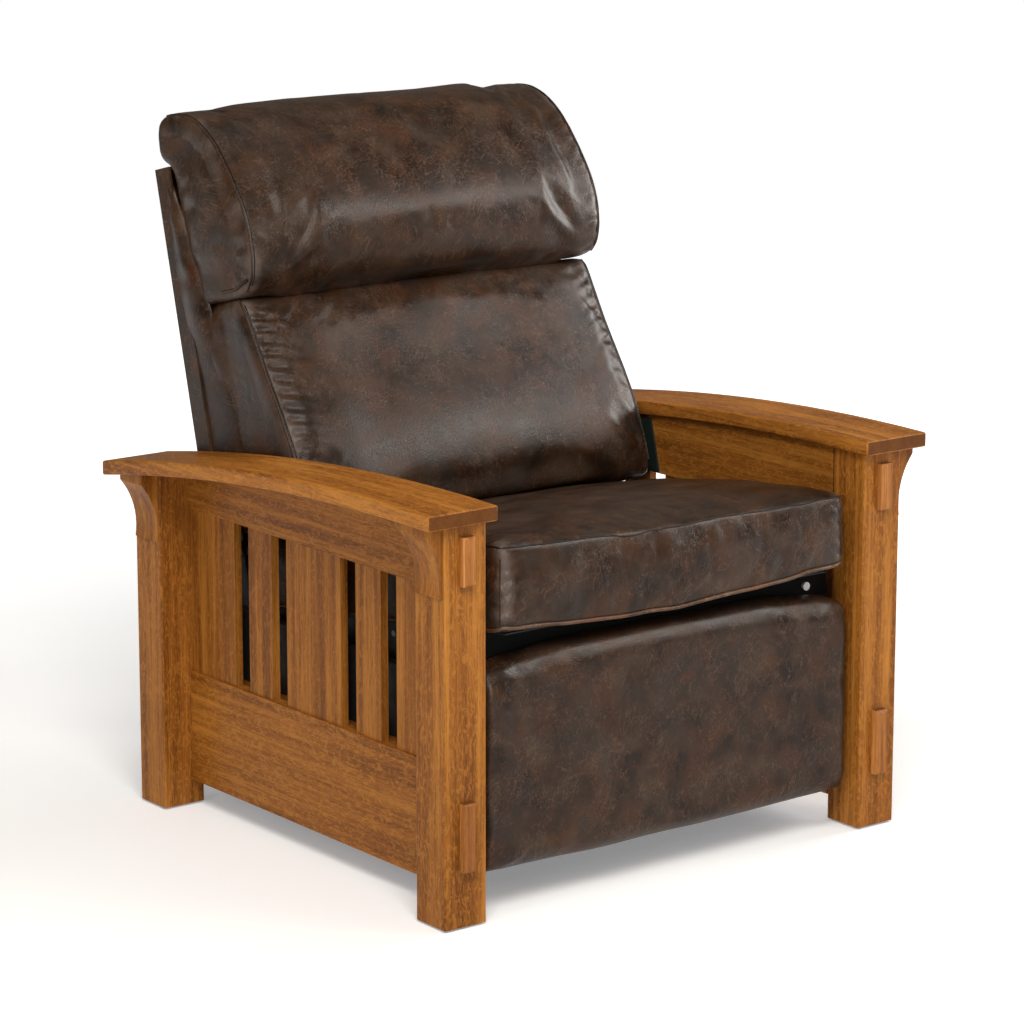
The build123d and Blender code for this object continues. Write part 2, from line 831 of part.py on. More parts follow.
# Rows from the bottom to the top: (front's share of depth, front's and rear's shares of height)
pillow_row_shares = (
    (0.77, 0.0, -0.07),
    (0.93, 0.08, 0.01),
    (1.0, 0.22, 0.12),
    (0.99, 0.42, 0.29),
    (0.9, 0.63, 0.49),
    (0.71, 0.83, 0.66),
    (0.45, 1.0, 0.79),
)
# Rows of the lip: (front's share of depth, rear's share of reach, share of the lip's height)
pillow_lip_shares = (
    (0.45, 0.83, 0.0),
    (0.44, 1.0, 0.29),
    (0.41, 0.96, 0.6),
    (0.36, 0.52, 0.85),
    (0.28, -0.17, 1.0),
)
lip_low = back_height + pillow_lip_gap
pillow_stations = []
for depth_share, front_share, rear_share in pillow_row_shares:
    front_place = back_point(back_front - depth_share * pillow_depth, pillow_low + front_share * pillow_height)
    rear_place = back_point(back_front, pillow_low + rear_share * pillow_height)
    pillow_stations.append((front_place, rear_place, pillow_half_width, pillow_crown))
lip_stations = []
for depth_share, reach_share, height_share in pillow_lip_shares:
    row_up = lip_low + height_share * pillow_lip_height
    front_place = back_point(back_front - depth_share * pillow_depth, row_up)
    rear_place = back_point(back_front + reach_share * pillow_lip_reach, row_up)
    lip_stations.append((front_place, rear_place, pillow_half_width, pillow_crown))


def pillow(inset):
    """The bolster and its lip in one form."""
    bolster = soft_block(pillow_stations, pillow_corner, pillow_draw, inset)
    return bolster + soft_block(lip_stations, pillow_corner, pillow_draw, inset)


head_pillow_cover = pillow(0) - pillow(skin)
head_pillow_foam = pillow(skin + foam_clearance)

# Footrest pad, from its bottom to its arched top
footrest_crown = 2.0
footrest_roll = 22.0
footrest_arch_run = 110.0
# Rows: (share of height, setback as a share of the roll, narrowing as a share of the arch's run)
footrest_row_shares = (
    (0.0, 1.0, 0.05),
    (0.04, 0.5, 0.01),
    (0.22, 0.09, 0.0),
    (0.5, 0.0, 0.0),
    (0.78, 0.09, 0.0),
    (0.96, 0.41, 0.02),
    (1.0, 0.72, 0.3),
    (1.035, 0.95, 1.0),
)
footrest_stations = []
for share, roll_share, narrowing_share in footrest_row_shares:
    row_z = footrest_low + share * (footrest_high - footrest_low)
    footrest_stations.append(
        (
            (footrest_front + roll_share * footrest_roll, row_z),
            (footrest_pad_back, row_z),
            footrest_half_width - narrowing_share * footrest_arch_run,
            footrest_crown,
        )
    )
footrest_draw = 1.5
footrest_cover, footrest_foam = cover_and_core(footrest_stations, footrest_corner_radius, footrest_draw)

board_back = footrest_pad_back + footrest_board_thickness
board_half_width = footrest_half_width - footrest_board_side_margin
footrest_board = block(
    (-board_half_width, board_half_width),
    (footrest_pad_back, board_back),
    (footrest_low + footrest_board_margin, footrest_high - footrest_board_margin),
)


def footrest_bracket():
    """An angle bracket: its web carries the two pivots and its flange is screwed to the board."""
    flange_mid = (footrest_pivot[1] + tilt_pivot[1]) / 2
    foot_y = board_back + link_half_width
    half = bracket_flange_height / 2 - link_half_width
    points = (footrest_pivot, tilt_pivot, (foot_y, flange_mid - half), (foot_y, flange_mid + half))
    web = link(points, (pivot_radius, pivot_radius), outer_link_low)
    flange = block(
        (outer_link_low - bracket_flange_width, outer_link_low),
        (board_back, board_back + steel),
        (flange_mid - bracket_flange_height / 2, flange_mid + bracket_flange_height / 2),
    )
    return web + flange


def board_screw(z):
    x = outer_link_low - bracket_flange_width / 2
    shank = Cylinder(screw_radius, screw_length, align=(Align.CENTER, Align.CENTER, Align.MIN))
    head = Cylinder(screw_head_radius, screw_head_height, align=(Align.CENTER, Align.CENTER, Align.MAX))
    return Plane(origin=(x, board_back + steel, z), x_dir=(1, 0, 0), z_dir=(0, -1, 0)) * (shank + head)


board_screw_shares = (0.14, 0.5, 0.86)
bracket_mid_z = (footrest_pivot[1] + tilt_pivot[1]) / 2
bracket_screws = [
    board_screw(bracket_mid_z + (share - board_screw_shares[1]) * bracket_flange_height)
    for share in board_screw_shares
]
footrest_bracket_right = footrest_bracket()
for fastener in bracket_screws:
    footrest_bracket_right -= fastener
for fastener in both_sides(bracket_screws):
    footrest_board -= fastener

# Back frame, cover and brackets

frame_behind = (back_front + back_deck_thickness, back_rear - back_panel_thickness)
frame_x = (back_bracket_x[0] - back_post_width, back_bracket_x[0])
frame_top = back_height - back_panel_thickness
back_post = frame_block(back_point, frame_x, frame_behind, (back_post_low, frame_top))
back_top_rail = frame_block(
    back_point, (-frame_x[0], frame_x[0]), frame_behind, (frame_top - back_rail_height, frame_top)
)
back_bottom_rail = frame_block(
    back_point,
    (-frame_x[0], frame_x[0]),
    frame_behind,
    (back_bottom_rail_low, back_bottom_rail_low + back_rail_height),
)
back_deck = frame_block(
    back_point,
    (-frame_x[1], frame_x[1]),
    (back_front, frame_behind[0]),
    (back_bottom_rail_low, frame_top),
)


def back_bracket():
    """A steel strap from the hinge up the outer face of a back post."""
    tip = back_point((frame_behind[0] + frame_behind[1]) / 2, back_bracket_reach)
    circles = [Pos(*point) * Circle(back_bracket_half_width) for point in ((hinge_y, hinge_z), tip)]
    strap = side_shape(make_hull([edge for circle in circles for edge in circle.edges()]), *back_bracket_x)
    bore = rod(hinge_y, hinge_z, hinge_radius + running_clearance, frame_x[0], plate_face)
    return strap - bore


bracket_bolt_shares = (0.36, 0.68, 0.98)
bracket_bolts = []
for share in bracket_bolt_shares:
    bolt_behind = (frame_behind[0] + frame_behind[1]) / 2 * share
    bolt_place = back_point(bolt_behind, share * back_bracket_reach)
    bracket_bolts.append(mirror(screw(*bolt_place, -back_bracket_x[1]), about=Plane.YZ))
back_bracket_right = back_bracket()
for fastener in bracket_bolts:
    back_bracket_right -= fastener
    back_post -= fastener


def outside_back():
    """The leather-covered back panel: a shallow tray, open in front and below."""
    place = Plane(
        origin=(0, *back_point(0, back_cover_low)),
        x_dir=(1, 0, 0),
        z_dir=(0, math.sin(rake), math.cos(rake)),
    )
    middle = (back_front + back_rear) / 2
    outer = Pos(0, middle) * Rectangle(2 * back_half_width, back_cover_depth)
    outer = fillet(outer.vertices().sort_by(Axis.Y)[-2:], back_cover_edge)
    hollow_depth = back_cover_depth - back_panel_thickness
    hollow_half_width = back_half_width - back_panel_thickness
    apron_span = (back_cover_low - back_apron_drop, back_cover_low)
    apron_behind = (back_rear - back_panel_thickness, back_rear)
    apron_half = back_half_width - back_cover_edge
    apron = frame_block(back_point, (-apron_half, apron_half), apron_behind, apron_span)
    slot_x = (plate_inner - back_apron_slot_gap, plate_face + back_apron_slot_gap)
    for slot_span in (slot_x, (-slot_x[1], -slot_x[0])):
        apron -= frame_block(back_point, slot_span, (back_front, 2 * back_rear), apron_span)
    inner = Pos(0, back_front + hollow_depth / 2) * Rectangle(2 * hollow_half_width, hollow_depth)
    tray = extrude(place * outer, back_height - back_cover_low)
    return tray - extrude(place * inner, frame_top - back_cover_low) + apron


outside_back_tray = outside_back()

back_direction = (math.sin(rake), math.cos(rake))
back_spring_low = back_bottom_rail_low + back_rail_height
back_spring_length = frame_top - back_rail_height - back_spring_low
back_spring_start = back_point(frame_behind[0] + spring_depth, back_spring_low)
back_spring = spring(back_spring_length, back_spring_start, back_direction, 0)
back_springs = [
    Pos((number - (back_spring_count - 1) / 2) * back_spring_spacing, 0, 0) * back_spring
    for number in range(back_spring_count)
]


def spring_clip(point, first, up, x, along_first):
    """A clip that holds one end of a spring against its rail, in the seat's or the back's directions."""
    half = clip_width / 2
    if along_first:
        body = frame_block(point, (x - half, x + half), first, (up - clip_half_height, up + clip_half_height))
        start = point(first[0], up)
    else:
        body = frame_block(
            point, (x - half, x + half), (up - clip_half_height, up + clip_half_height), first
        )
        start = point(up, first[0])
    direction = seat_direction if along_first else back_direction
    bore_face = Plane(origin=(x, *start), z_dir=(0, *direction)) * Circle(wire_radius + clip_clearance)
    return body - extrude(bore_face, clip_length)


seat_clips = []
for number in range(seat_spring_count):
    clip_x = (number - (seat_spring_count - 1) / 2) * seat_spring_spacing
    for clip_start in (front_rail_along[1], rear_rail_along[0] - clip_length):
        clip_span = (clip_start, clip_start + clip_length)
        seat_clips.append(
            spring_clip(seat_point, clip_span, -deck_thickness - spring_depth, clip_x, True)
        )
back_clips = []
for number in range(back_spring_count):
    clip_x = (number - (back_spring_count - 1) / 2) * back_spring_spacing
    for clip_start in (back_spring_low, back_spring_low + back_spring_length - clip_length):
        clip_span = (clip_start, clip_start + clip_length)
        back_clips.append(
            spring_clip(back_point, clip_span, frame_behind[0] + spring_depth, clip_x, False)
        )

# Every piece under its own name

nodes = {
    "front_post_right": [post_front],
    "front_post_left": [mirror(post_front, about=Plane.YZ)],
    "back_post_right": [post_back],
    "back_post_left": [mirror(post_back, about=Plane.YZ)],
    "arm_board_right": [arm_right],
    "arm_board_left": [mirror(arm_right, about=Plane.YZ)],
    "top_rail_right": [rail_top],
    "top_rail_left": [mirror(rail_top, about=Plane.YZ)],
    "bottom_rail_right": [rail_bottom],
    "bottom_rail_left": [mirror(rail_bottom, about=Plane.YZ)],
    "side_slats_right": slats,
    "side_slats_left": [mirror(slat, about=Plane.YZ) for slat in slats],
    "tenon_blocks": both_sides(tenon_blocks),
    "arm_corbels": both_sides(corbels),
    "foot_glides": both_sides(glides),
    "rear_stretcher": [rear_stretcher],
    "middle_stretcher": [middle_stretcher],
    "runner_cleats": both_sides([cleat]),
    "runner_tracks": both_sides([track_right]),
    "track_screws": both_sides(track_screws),
    "guide_straps": both_sides([guide_strap]),
    "seat_front_rail": [seat_front_rail],
    "seat_side_rails": both_sides([seat_side_rail]),
    "seat_rear_rail": [seat_rear_rail],
    "seat_springs": seat_springs,
    "seat_spring_clips": seat_clips,
    "seat_deck": [seat_deck],
    "seat_cushion_cover": [seat_cushion_cover],
    "seat_cushion_foam": [seat_cushion_foam],
    "mechanism_plates": both_sides([plate_right]),
    "seat_runners": both_sides([runner]),
    "plate_screws": both_sides(plate_screws),
    "footrest_bumper": [bumper],
    "link_pivot_pins": both_sides(seat_pivot_pins),
    "back_pivot_bolts": both_sides([hinge_bolt]),
    "rear_links": both_sides([rear_link]),
    "torsion_tube": [torsion_tube],
    "rear_link_pins": both_sides(rear_link_pins),
    "guide_links": both_sides([guide_link]),
    "front_links": both_sides([front_link]),
    "front_link_pins": both_sides(front_link_pins),
    "tilt_links": both_sides([tilt_link]),
    "footrest_cover": [footrest_cover],
    "footrest_foam": [footrest_foam],
    "footrest_board": [footrest_board],
    "footrest_brackets": both_sides([footrest_bracket_right]),
    "footrest_fasteners": both_sides(bracket_screws + footrest_pins),
    "back_frame_posts": both_sides([back_post]),
    "back_top_rail": [back_top_rail],
    "back_bottom_rail": [back_bottom_rail],
    "back_springs": back_springs,
    "back_spring_clips": back_clips,
    "back_deck": [back_deck],
    "back_cushion_cover": [back_cushion_cover],
    "back_cushion_foam": [back_cushion_foam],
    "head_pillow_cover": [head_pillow_cover],
    "head_pillow_foam": [head_pillow_foam],
    "outside_back": [outside_back_tray],
    "back_brackets": both_sides([back_bracket_right]),
    "back_bracket_bolts": both_sides(bracket_bolts),
}

solids = {
    name: [solid for shape in shapes for solid in shape.solids()] for name, shapes in nodes.items()
}
whole = Compound(children=[solid for group in solids.values() for solid in group]).bounding_box()
to_origin = Pos(0, -(whole.min.Y + whole.max.Y) / 2, -whole.min.Z)

os.makedirs("parts", exist_ok=True)
for name, group in solids.items():
    export_step(Compound(children=[to_origin * solid for solid in group]), f"parts/{name}.step")

print("centre of the chair in the working frame, y:", (whole.min.Y + whole.max.Y) / 2)
print("size:", whole.size)
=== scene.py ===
import math

import bmesh
import bpy
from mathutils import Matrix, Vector, noise
from mathutils.bvhtree import BVHTree


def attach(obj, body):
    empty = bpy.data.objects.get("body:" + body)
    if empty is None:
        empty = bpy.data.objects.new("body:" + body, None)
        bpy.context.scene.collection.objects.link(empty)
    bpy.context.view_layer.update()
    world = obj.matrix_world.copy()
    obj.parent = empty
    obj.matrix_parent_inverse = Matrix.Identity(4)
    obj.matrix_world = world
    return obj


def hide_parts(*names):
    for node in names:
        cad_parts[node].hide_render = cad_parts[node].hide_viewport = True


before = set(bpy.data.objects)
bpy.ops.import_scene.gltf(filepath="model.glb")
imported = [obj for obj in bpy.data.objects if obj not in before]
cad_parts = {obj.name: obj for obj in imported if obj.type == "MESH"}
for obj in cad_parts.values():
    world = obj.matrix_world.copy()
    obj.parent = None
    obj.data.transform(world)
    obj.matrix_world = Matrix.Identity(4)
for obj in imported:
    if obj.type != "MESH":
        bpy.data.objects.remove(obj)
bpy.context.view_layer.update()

mm = 0.001

# The camera stands where the photograph was taken from
camera_azimuth = math.radians(37.48)
camera_elevation = math.radians(12.36)
camera_distance = 5.4589
camera_target = Vector((0, 0.00065, 0.5))
camera_lens = 134.46
camera_sensor = 36.0
camera_shift = (0.0099, -0.0407)


def add_camera():
    data = bpy.data.cameras.new("camera")
    data.lens = camera_lens
    data.sensor_width = camera_sensor
    data.shift_x, data.shift_y = camera_shift
    data.clip_end = 50
    camera = bpy.data.objects.new("camera", data)
    bpy.context.scene.collection.objects.link(camera)
    flat = math.cos(camera_elevation)
    look = Vector(
        (
            math.sin(camera_azimuth) * flat,
            math.cos(camera_azimuth) * flat,
            -math.sin(camera_elevation),
        )
    )
    camera.location = camera_target - look * camera_distance
    camera.rotation_euler = look.to_track_quat("-Z", "Y").to_euler()
    bpy.context.scene.camera = camera


add_camera()


# Materials


class Paint:
    """A short way to write one material's nodes."""

    def __init__(self, name):
        self.material = bpy.data.materials.new(name)
        self.material.use_nodes = True
        self.tree = self.material.node_tree
        self.shader = self.tree.nodes["Principled BSDF"]

    def node(self, kind, settings=None, **inputs):
        """A node with its settings and inputs; an underscore stands for a space in a name."""
        made = self.tree.nodes.new("ShaderNode" + kind)
        for key, value in (settings or {}).items():
            setattr(made, key, value)
        for key, value in inputs.items():
            self.put(made.inputs[key.replace("_", " ")], value)
        return made

    def put(self, socket, value):
        if isinstance(value, bpy.types.NodeSocket):
            self.tree.links.new(value, socket)
        else:
            socket.default_value = value

    def place(self, scale, offset=(0, 0, 0), turn=(0, 0, 0)):
        """Object coordinates, turned, then scaled and moved."""
        source = self.node("TexCoord").outputs["Object"]
        if any(turn):
            source = self.node("Mapping", Vector=source, Rotation=turn).outputs["Vector"]
        placed = self.node("Mapping", Vector=source, Scale=scale, Location=offset)
        return placed.outputs["Vector"]

    def cloud(self, where, scale=1.0, detail=4.0, roughness=0.55, distortion=0.0):
        return self.node(
            "TexNoise",
            Vector=where,
            Scale=scale,
            Detail=detail,
            Roughness=roughness,
            Distortion=distortion,
        ).outputs["Fac"]

    def ramp(self, value, *stops):
        made = self.node("ValToRGB", Fac=value)
        band = made.color_ramp
        while len(band.elements) < len(stops):
            band.elements.new(0.5)
        for element, (at, colour) in zip(band.elements, stops):
            element.position = at
            element.color = (*colour, 1)
        return made.outputs["Color"]

    def step(self, value, low, high, to_low=0.0, to_high=1.0):
        return self.node(
            "MapRange",
            {"interpolation_type": "SMOOTHSTEP"},
            Value=value,
            From_Min=low,
            From_Max=high,
            To_Min=to_low,
            To_Max=to_high,
        ).outputs["Result"]

    def math(self, operation, first, second=0.0):
        made = self.node("Math", {"operation": operation})
        for socket, value in zip(made.inputs, (first, second)):
            self.put(socket, value)
        return made.outputs[0]

    def mix(self, share, first, second):
        made = self.node("Mix", {"data_type": "RGBA"})
        self.put(made.inputs[0], share)
        for socket, value in zip((made.inputs[6], made.inputs[7]), (first, second)):
            if isinstance(value, tuple) and len(value) == 3:
                value = (*value, 1)
            self.put(socket, value)
        return made.outputs[2]

    def bump(self, height, strength, distance):
        return self.node(
            "Bump", Height=height, Strength=strength, Distance=distance
        ).outputs["Normal"]

    def finish(self, **sockets):
        for key, value in sockets.items():
            socket = self.shader.inputs[key.replace("_", " ")]
            if isinstance(value, tuple) and len(value) == 3 and socket.type == "RGBA":
                value = (*value, 1)
            self.put(socket, value)
        return self.material


# Leather: the directions of the fine rubs, and its colours from dark to rubbed through; the last
# colour is the pale of wear and painted highlight beside seams and on pucker ridges
rub_turns = (
    (0.0, 0.9, 0.3),
    (0.0, -1.1, -0.5),
    (0.4, 1.45, 0.9),
    (0.0, -0.35, 1.5),
)
leather_colours = (
    (0.0120, 0.0058, 0.0028),
    (0.0320, 0.0155, 0.0080),
    (0.0600, 0.0340, 0.0200),
    (0.0640, 0.0225, 0.0075),
    (0.0300, 0.0235, 0.0185),
    (0.1250, 0.0680, 0.0400),
    (0.1300, 0.1000, 0.0850),
)
leather_gloss = 0.17
mottle_scale = 18
cool_scale = 21
broad_scale = 7
speck_scale = 210
crackle_scale = 58.0
crackle_width = 0.045
crackle_strength = 0.14
pebble_scale = 420.0
rub_stretch = (14, 95, 95)
rub_width = 0.020
rub_strength = 0.44
# How strongly the pale mark shows: partly wear, partly painted highlight
wear_and_sheen_strength = 0.55

# Oak: its stain from dark to pale, and each pattern's scale along and across the grain
oak_dark = (0.144, 0.045, 0.0067)
oak_middle = (0.283, 0.098, 0.0144)
oak_pale = (0.427, 0.171, 0.0288)
oak_pore = (0.05, 0.018, 0.005)
oak_gloss = 0.09
oak_bands = (1.6, 62)
oak_fine = (9, 420)
oak_pores = (34, 1100)
oak_flecks = (46, 105)
oak_rays = (34, 330)
oak_blotch = (4.5, 4.5, 4.5)


def along(axis, lengthwise, crosswise):
    """Scales for a pattern that is stretched along one axis."""
    return tuple(lengthwise if letter == axis else crosswise for letter in "XYZ")


def oak(name, axis, seed, light=1.0, tone=(1.0, 1.0, 1.0), fleck=1.0):
    """Stained quarter-sawn oak with its grain along one axis."""
    p = Paint(name)
    shift = (seed * 1.7, seed * 2.3, seed * 3.1)
    bands = p.cloud(
        p.place(along(axis, *oak_bands), shift), detail=5, roughness=0.6, distortion=0.35
    )
    fine = p.cloud(p.place(along(axis, *oak_fine), shift), detail=3, roughness=0.7)
    pores = p.cloud(p.place(along(axis, *oak_pores), shift), detail=2, roughness=0.5)
    blotch = p.cloud(p.place(oak_blotch, shift), detail=2)
    flecks = p.cloud(
        p.place(along(axis, *oak_flecks), shift), detail=3, roughness=0.6, distortion=1.9
    )
    rays = p.cloud(
        p.place(along(axis, *oak_rays), shift), detail=2, roughness=0.5, distortion=2.6
    )
    ribs = p.math("MAXIMUM", p.step(flecks, 0.53, 0.60), p.step(rays, 0.54, 0.60, 0.0, 0.85))
    dark, middle, pale = (
        tuple(value * light * share for value, share in zip(colour, tone))
        for colour in (oak_dark, oak_middle, oak_pale)
    )
    base = p.ramp(bands, (0.36, dark), (0.49, middle), (0.64, pale))
    streaks = p.mix(p.step(fine, 0.42, 0.62, 0.0, 0.50), base, dark)
    shaded = p.mix(p.step(blotch, 0.35, 0.7, 0.0, 0.30), streaks, dark)
    silver = p.mix(p.math("MULTIPLY", ribs, 0.50 * fleck), shaded, pale)
    holes = p.step(pores, 0.60, 0.68)
    grain = p.mix(p.math("MULTIPLY", holes, 0.55), silver, oak_pore)
    normal = p.node("TexCoord").outputs["Normal"]
    facing = p.node("SeparateXYZ", Vector=normal).outputs[axis]
    end_grain = p.step(p.math("ABSOLUTE", facing), 0.86, 0.97, 0.0, 0.85)
    colour = p.mix(end_grain, grain, tuple(0.55 * value for value in dark))
    rough = p.step(bands, 0.3, 0.7, 0.34, 0.46)
    rough = p.math("SUBTRACT", rough, p.math("MULTIPLY", ribs, 0.07))
    height = p.math("SUBTRACT", p.math("MULTIPLY", fine, 0.4), holes)
    return p.finish(
        Base_Color=colour,
        Roughness=rough,
        Normal=p.bump(height, 0.25, 0.0006),
        Specular_IOR_Level=oak_gloss,
    )


def leather(name, light=1.0, seed=0.0):
    """Distressed dark brown leather: mottled cool and warm, with pale rubs, a soft pebble, and a
    pale mark of wear and painted highlight beside seams and on pucker ridges.
    """
    p = Paint(name)
    shift = (seed, seed * 0.7, seed * 1.3)
    where = p.place((1, 1, 1), shift)
    mottle = p.cloud(where, scale=mottle_scale, detail=5, roughness=0.56, distortion=0.4)
    cool = p.cloud(
        p.place((1, 1, 1), (3.1, 1.7, 0.4)), scale=cool_scale, detail=3, roughness=0.5
    )
    warm = p.cloud(
        p.place((1, 1, 1), (0.7, 5.2, 2.6)), scale=mottle_scale, detail=5, roughness=0.6,
        distortion=0.5,
    )
    broad = p.cloud(p.place((1, 1, 1), (6.1, 0.4, 1.9)), scale=broad_scale, detail=2)
    speck = p.cloud(where, scale=speck_scale, detail=3, roughness=0.6)
    rubs = 0.0
    for number, turn in enumerate(rub_turns):
        long = p.place(rub_stretch, (number * 2.3, number * 1.1, number * 0.6), turn)
        lines = p.cloud(long, detail=2, roughness=0.5, distortion=0.35)
        off_line = p.math("ABSOLUTE", p.math("SUBTRACT", lines, 0.5))
        thin = p.step(off_line, 0.0, rub_width, 1.0, 0.0)
        patch = p.cloud(p.place((1, 1, 1), (number * 4.1, 0, 0)), scale=cool_scale, detail=3)
        rubs = p.math("MAXIMUM", rubs, p.math("MULTIPLY", thin, p.step(patch, 0.49, 0.60)))
    cells = p.node(
        "TexVoronoi", {"feature": "DISTANCE_TO_EDGE"}, Vector=where, Scale=crackle_scale
    ).outputs["Distance"]
    cracks = p.step(cells, 0.0, crackle_width, 1.0, 0.0)
    crackle = p.math("MULTIPLY", cracks, p.step(warm, 0.50, 0.64))
    rubs = p.math("MAXIMUM", rubs, p.math("MULTIPLY", crackle, crackle_strength))
    dark, middle, pale, reddish, slate, rubbed, wear_and_sheen = (
        tuple(value * light for value in colour) for colour in leather_colours
    )
    base = p.ramp(mottle, (0.33, dark), (0.49, middle), (0.67, pale))
    base = p.mix(p.step(warm, 0.47, 0.66, 0.0, 0.62), base, reddish)
    base = p.mix(p.step(cool, 0.49, 0.66, 0.0, 0.50), base, slate)
    base = p.mix(p.step(broad, 0.36, 0.62, 0.30, 0.0), base, dark)
    base = p.mix(p.step(speck, 0.35, 0.65, 0.16, 0.0), base, dark)
    base = p.mix(p.math("MULTIPLY", rubs, rub_strength), base, rubbed)
    # Painted highlight with wear: the point mark lightens the leather beside seams and on pucker
    # ridges
    edge = p.node("Attribute", {"attribute_name": "wear_and_sheen"}).outputs["Fac"]
    colour = p.mix(p.math("MULTIPLY", edge, wear_and_sheen_strength), base, wear_and_sheen)
    pebble = p.node("TexVoronoi", Vector=where, Scale=pebble_scale).outputs["Distance"]
    height = p.math("ADD", p.math("MULTIPLY", pebble, 0.5), p.math("MULTIPLY", speck, 0.7))
    height = p.math("SUBTRACT", height, p.math("MULTIPLY", rubs, 0.5))
    rough = p.step(mottle, 0.3, 0.75, 0.30, 0.43)
    return p.finish(
        Base_Color=colour,
        Roughness=rough,
        Normal=p.bump(height, 0.30, 0.0008),
        Specular_IOR_Level=leather_gloss,
        Coat_Weight=0.01,
        Coat_Roughness=0.34,
    )


def steel(name, colour, rough, metallic=1.0):
    """Steel, bright or black, with cloudy wear."""
    p = Paint(name)
    wear = p.cloud(p.place((1, 1, 1)), scale=60, detail=4)
    fine = p.cloud(p.place((1, 1, 1)), scale=900, detail=2)
    worn_down = tuple(0.55 * value for value in colour)
    tint = p.mix(p.step(wear, 0.35, 0.7, 0.0, 0.5), colour, worn_down)
    return p.finish(
        Base_Color=tint,
        Roughness=p.step(wear, 0.3, 0.7, rough, rough + 0.14),
        Normal=p.bump(fine, 0.12, 0.0003),
        Metallic=metallic,
    )


def woven(name, colour):
    """Plain cover cloth: two sets of threads that cross."""
    p = Paint(name)
    warp, weft = (
        p.node(
            "TexWave",
            {"bands_direction": direction},
            Vector=p.place((1, 1, 1)),
            Scale=500.0,
            Distortion=0.6,
        ).outputs["Fac"]
        for direction in "XY"
    )
    weave = p.math("MAXIMUM", warp, weft)
    tint = p.mix(weave, tuple(0.5 * value for value in colour), colour)
    return p.finish(Base_Color=tint, Roughness=0.9, Normal=p.bump(weave, 0.4, 0.0004))


def moulded(name, colour, rough, gloss=0.4):
    """Paint or plastic with a faint grain."""
    p = Paint(name)
    spots = p.cloud(p.place((1, 1, 1)), scale=700, detail=2)
    tint = p.mix(p.step(spots, 0.3, 0.7), tuple(0.92 * value for value in colour), colour)
    normal = p.bump(spots, 0.1, 0.0003)
    return p.finish(Base_Color=tint, Roughness=rough, Normal=normal, Specular_IOR_Level=gloss)


def paint_node(name, material):
    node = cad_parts[name]
    node.data.materials.clear()
    node.data.materials.append(material)


def paint_frame():
    """Every CAD node that stays in view gets its own finish, with the grain along its length."""
    upright = {
        "front_post_left": (1, 1.0),
        "front_post_right": (2, 1.05),
        "back_post_left": (3, 1.0),
        "back_post_right": (4, 1.0),
    }
    lengthwise = {
        "arm_board_left": (5, 1.08),
        "arm_board_right": (6, 1.08),
        "top_rail_left": (7, 0.92),
        "top_rail_right": (8, 0.92),
        "bottom_rail_left": (9, 1.0),
        "bottom_rail_right": (10, 1.0),
        "runner_cleats": (11, 0.9),
        "seat_side_rails": (12, 1.3),
    }
    across = {
        "rear_stretcher": (13, 0.95),
        "middle_stretcher": (14, 0.9),
        "back_top_rail": (15, 1.3),
        "back_bottom_rail": (16, 1.3),
        "seat_rear_rail": (17, 1.3),
        "footrest_board": (18, 1.3),
    }
    for axis, group in (("Z", upright), ("Y", lengthwise), ("X", across)):
        for name, (seed, light) in group.items():
            paint_node(name, oak("oak_" + name, axis, seed, light))
    paint_node("side_slats_left", oak("oak_slats_left", "Z", 21, 0.97, fleck=0.7))
    paint_node("side_slats_right", oak("oak_slats_right", "Z", 22, 0.97, fleck=0.7))
    paint_node("arm_corbels", oak("oak_corbels", "Z", 23, 0.95, fleck=0.5))
    paint_node("back_frame_posts", oak("frame_wood_posts", "Z", 24, 1.3, fleck=0.2))
    tenon = oak("oak_tenons", "Z", 25, 1.15, tone=(1.08, 1.15, 1.9), fleck=0.2)
    paint_node("tenon_blocks", tenon)
    black_steel = steel("black_steel", (0.022, 0.022, 0.024), 0.42, metallic=0.0)
    bright = steel("zinc_fasteners", (0.55, 0.55, 0.56), 0.32)
    wire = steel("spring_wire", (0.32, 0.32, 0.33), 0.38)
    strap = steel("green_black_strap", (0.006, 0.014, 0.011), 0.5, metallic=0.0)
    paint_node("guide_straps", strap)
    for name in (
        "runner_tracks", "mechanism_plates", "seat_runners", "rear_links", "torsion_tube",
        "guide_links", "front_links", "tilt_links", "footrest_brackets", "back_brackets",
    ):
        paint_node(name, black_steel)
    for name in (
        "track_screws", "plate_screws", "link_pivot_pins", "back_pivot_bolts", "rear_link_pins",
        "front_link_pins", "footrest_fasteners", "back_bracket_bolts",
    ):
        paint_node(name, bright)
    for name in ("seat_springs", "back_springs", "seat_spring_clips", "back_spring_clips"):
        paint_node(name, wire)
    cloth = woven("black_cloth", (0.018, 0.018, 0.019))
    for name in ("seat_deck", "back_deck"):
        paint_node(name, cloth)
    # The seat's front rail is a near-total black: a dark rail, and painted shade for the deep gap
    # between the seat cushion and the footrest
    paint_node("seat_front_rail", moulded("black_rail_and_gap_shade", (0.003, 0.003, 0.003), 0.7, 0.08))
    paint_node("footrest_bumper", moulded("white_nylon", (0.80, 0.80, 0.78), 0.45))
    paint_node("foot_glides", moulded("brown_glide", (0.05, 0.035, 0.03), 0.6))


paint_frame()


# Cushions: each is a cage in the seat's or the back's own directions, in millimetres

chair_middle = 399.352
seat_pitch = math.radians(7.5)
seat_front = (9.0, 385.0)
back_rake = math.radians(14.0)
back_hinge = (652.0, 375.0)
end_inset = 16.0
cushion_voxel = 0.0055
settle_frames = 20
cloth_quality = 5
cloth_mass = 0.35
cloth_stiffness = 12.0
cloth_bending = 0.6
seam_firmness = 0.9
pucker_droop = 0.35
pucker_band = 0.030
dent_size = 0.11
wear_reach = 0.017
seam_step = 0.012


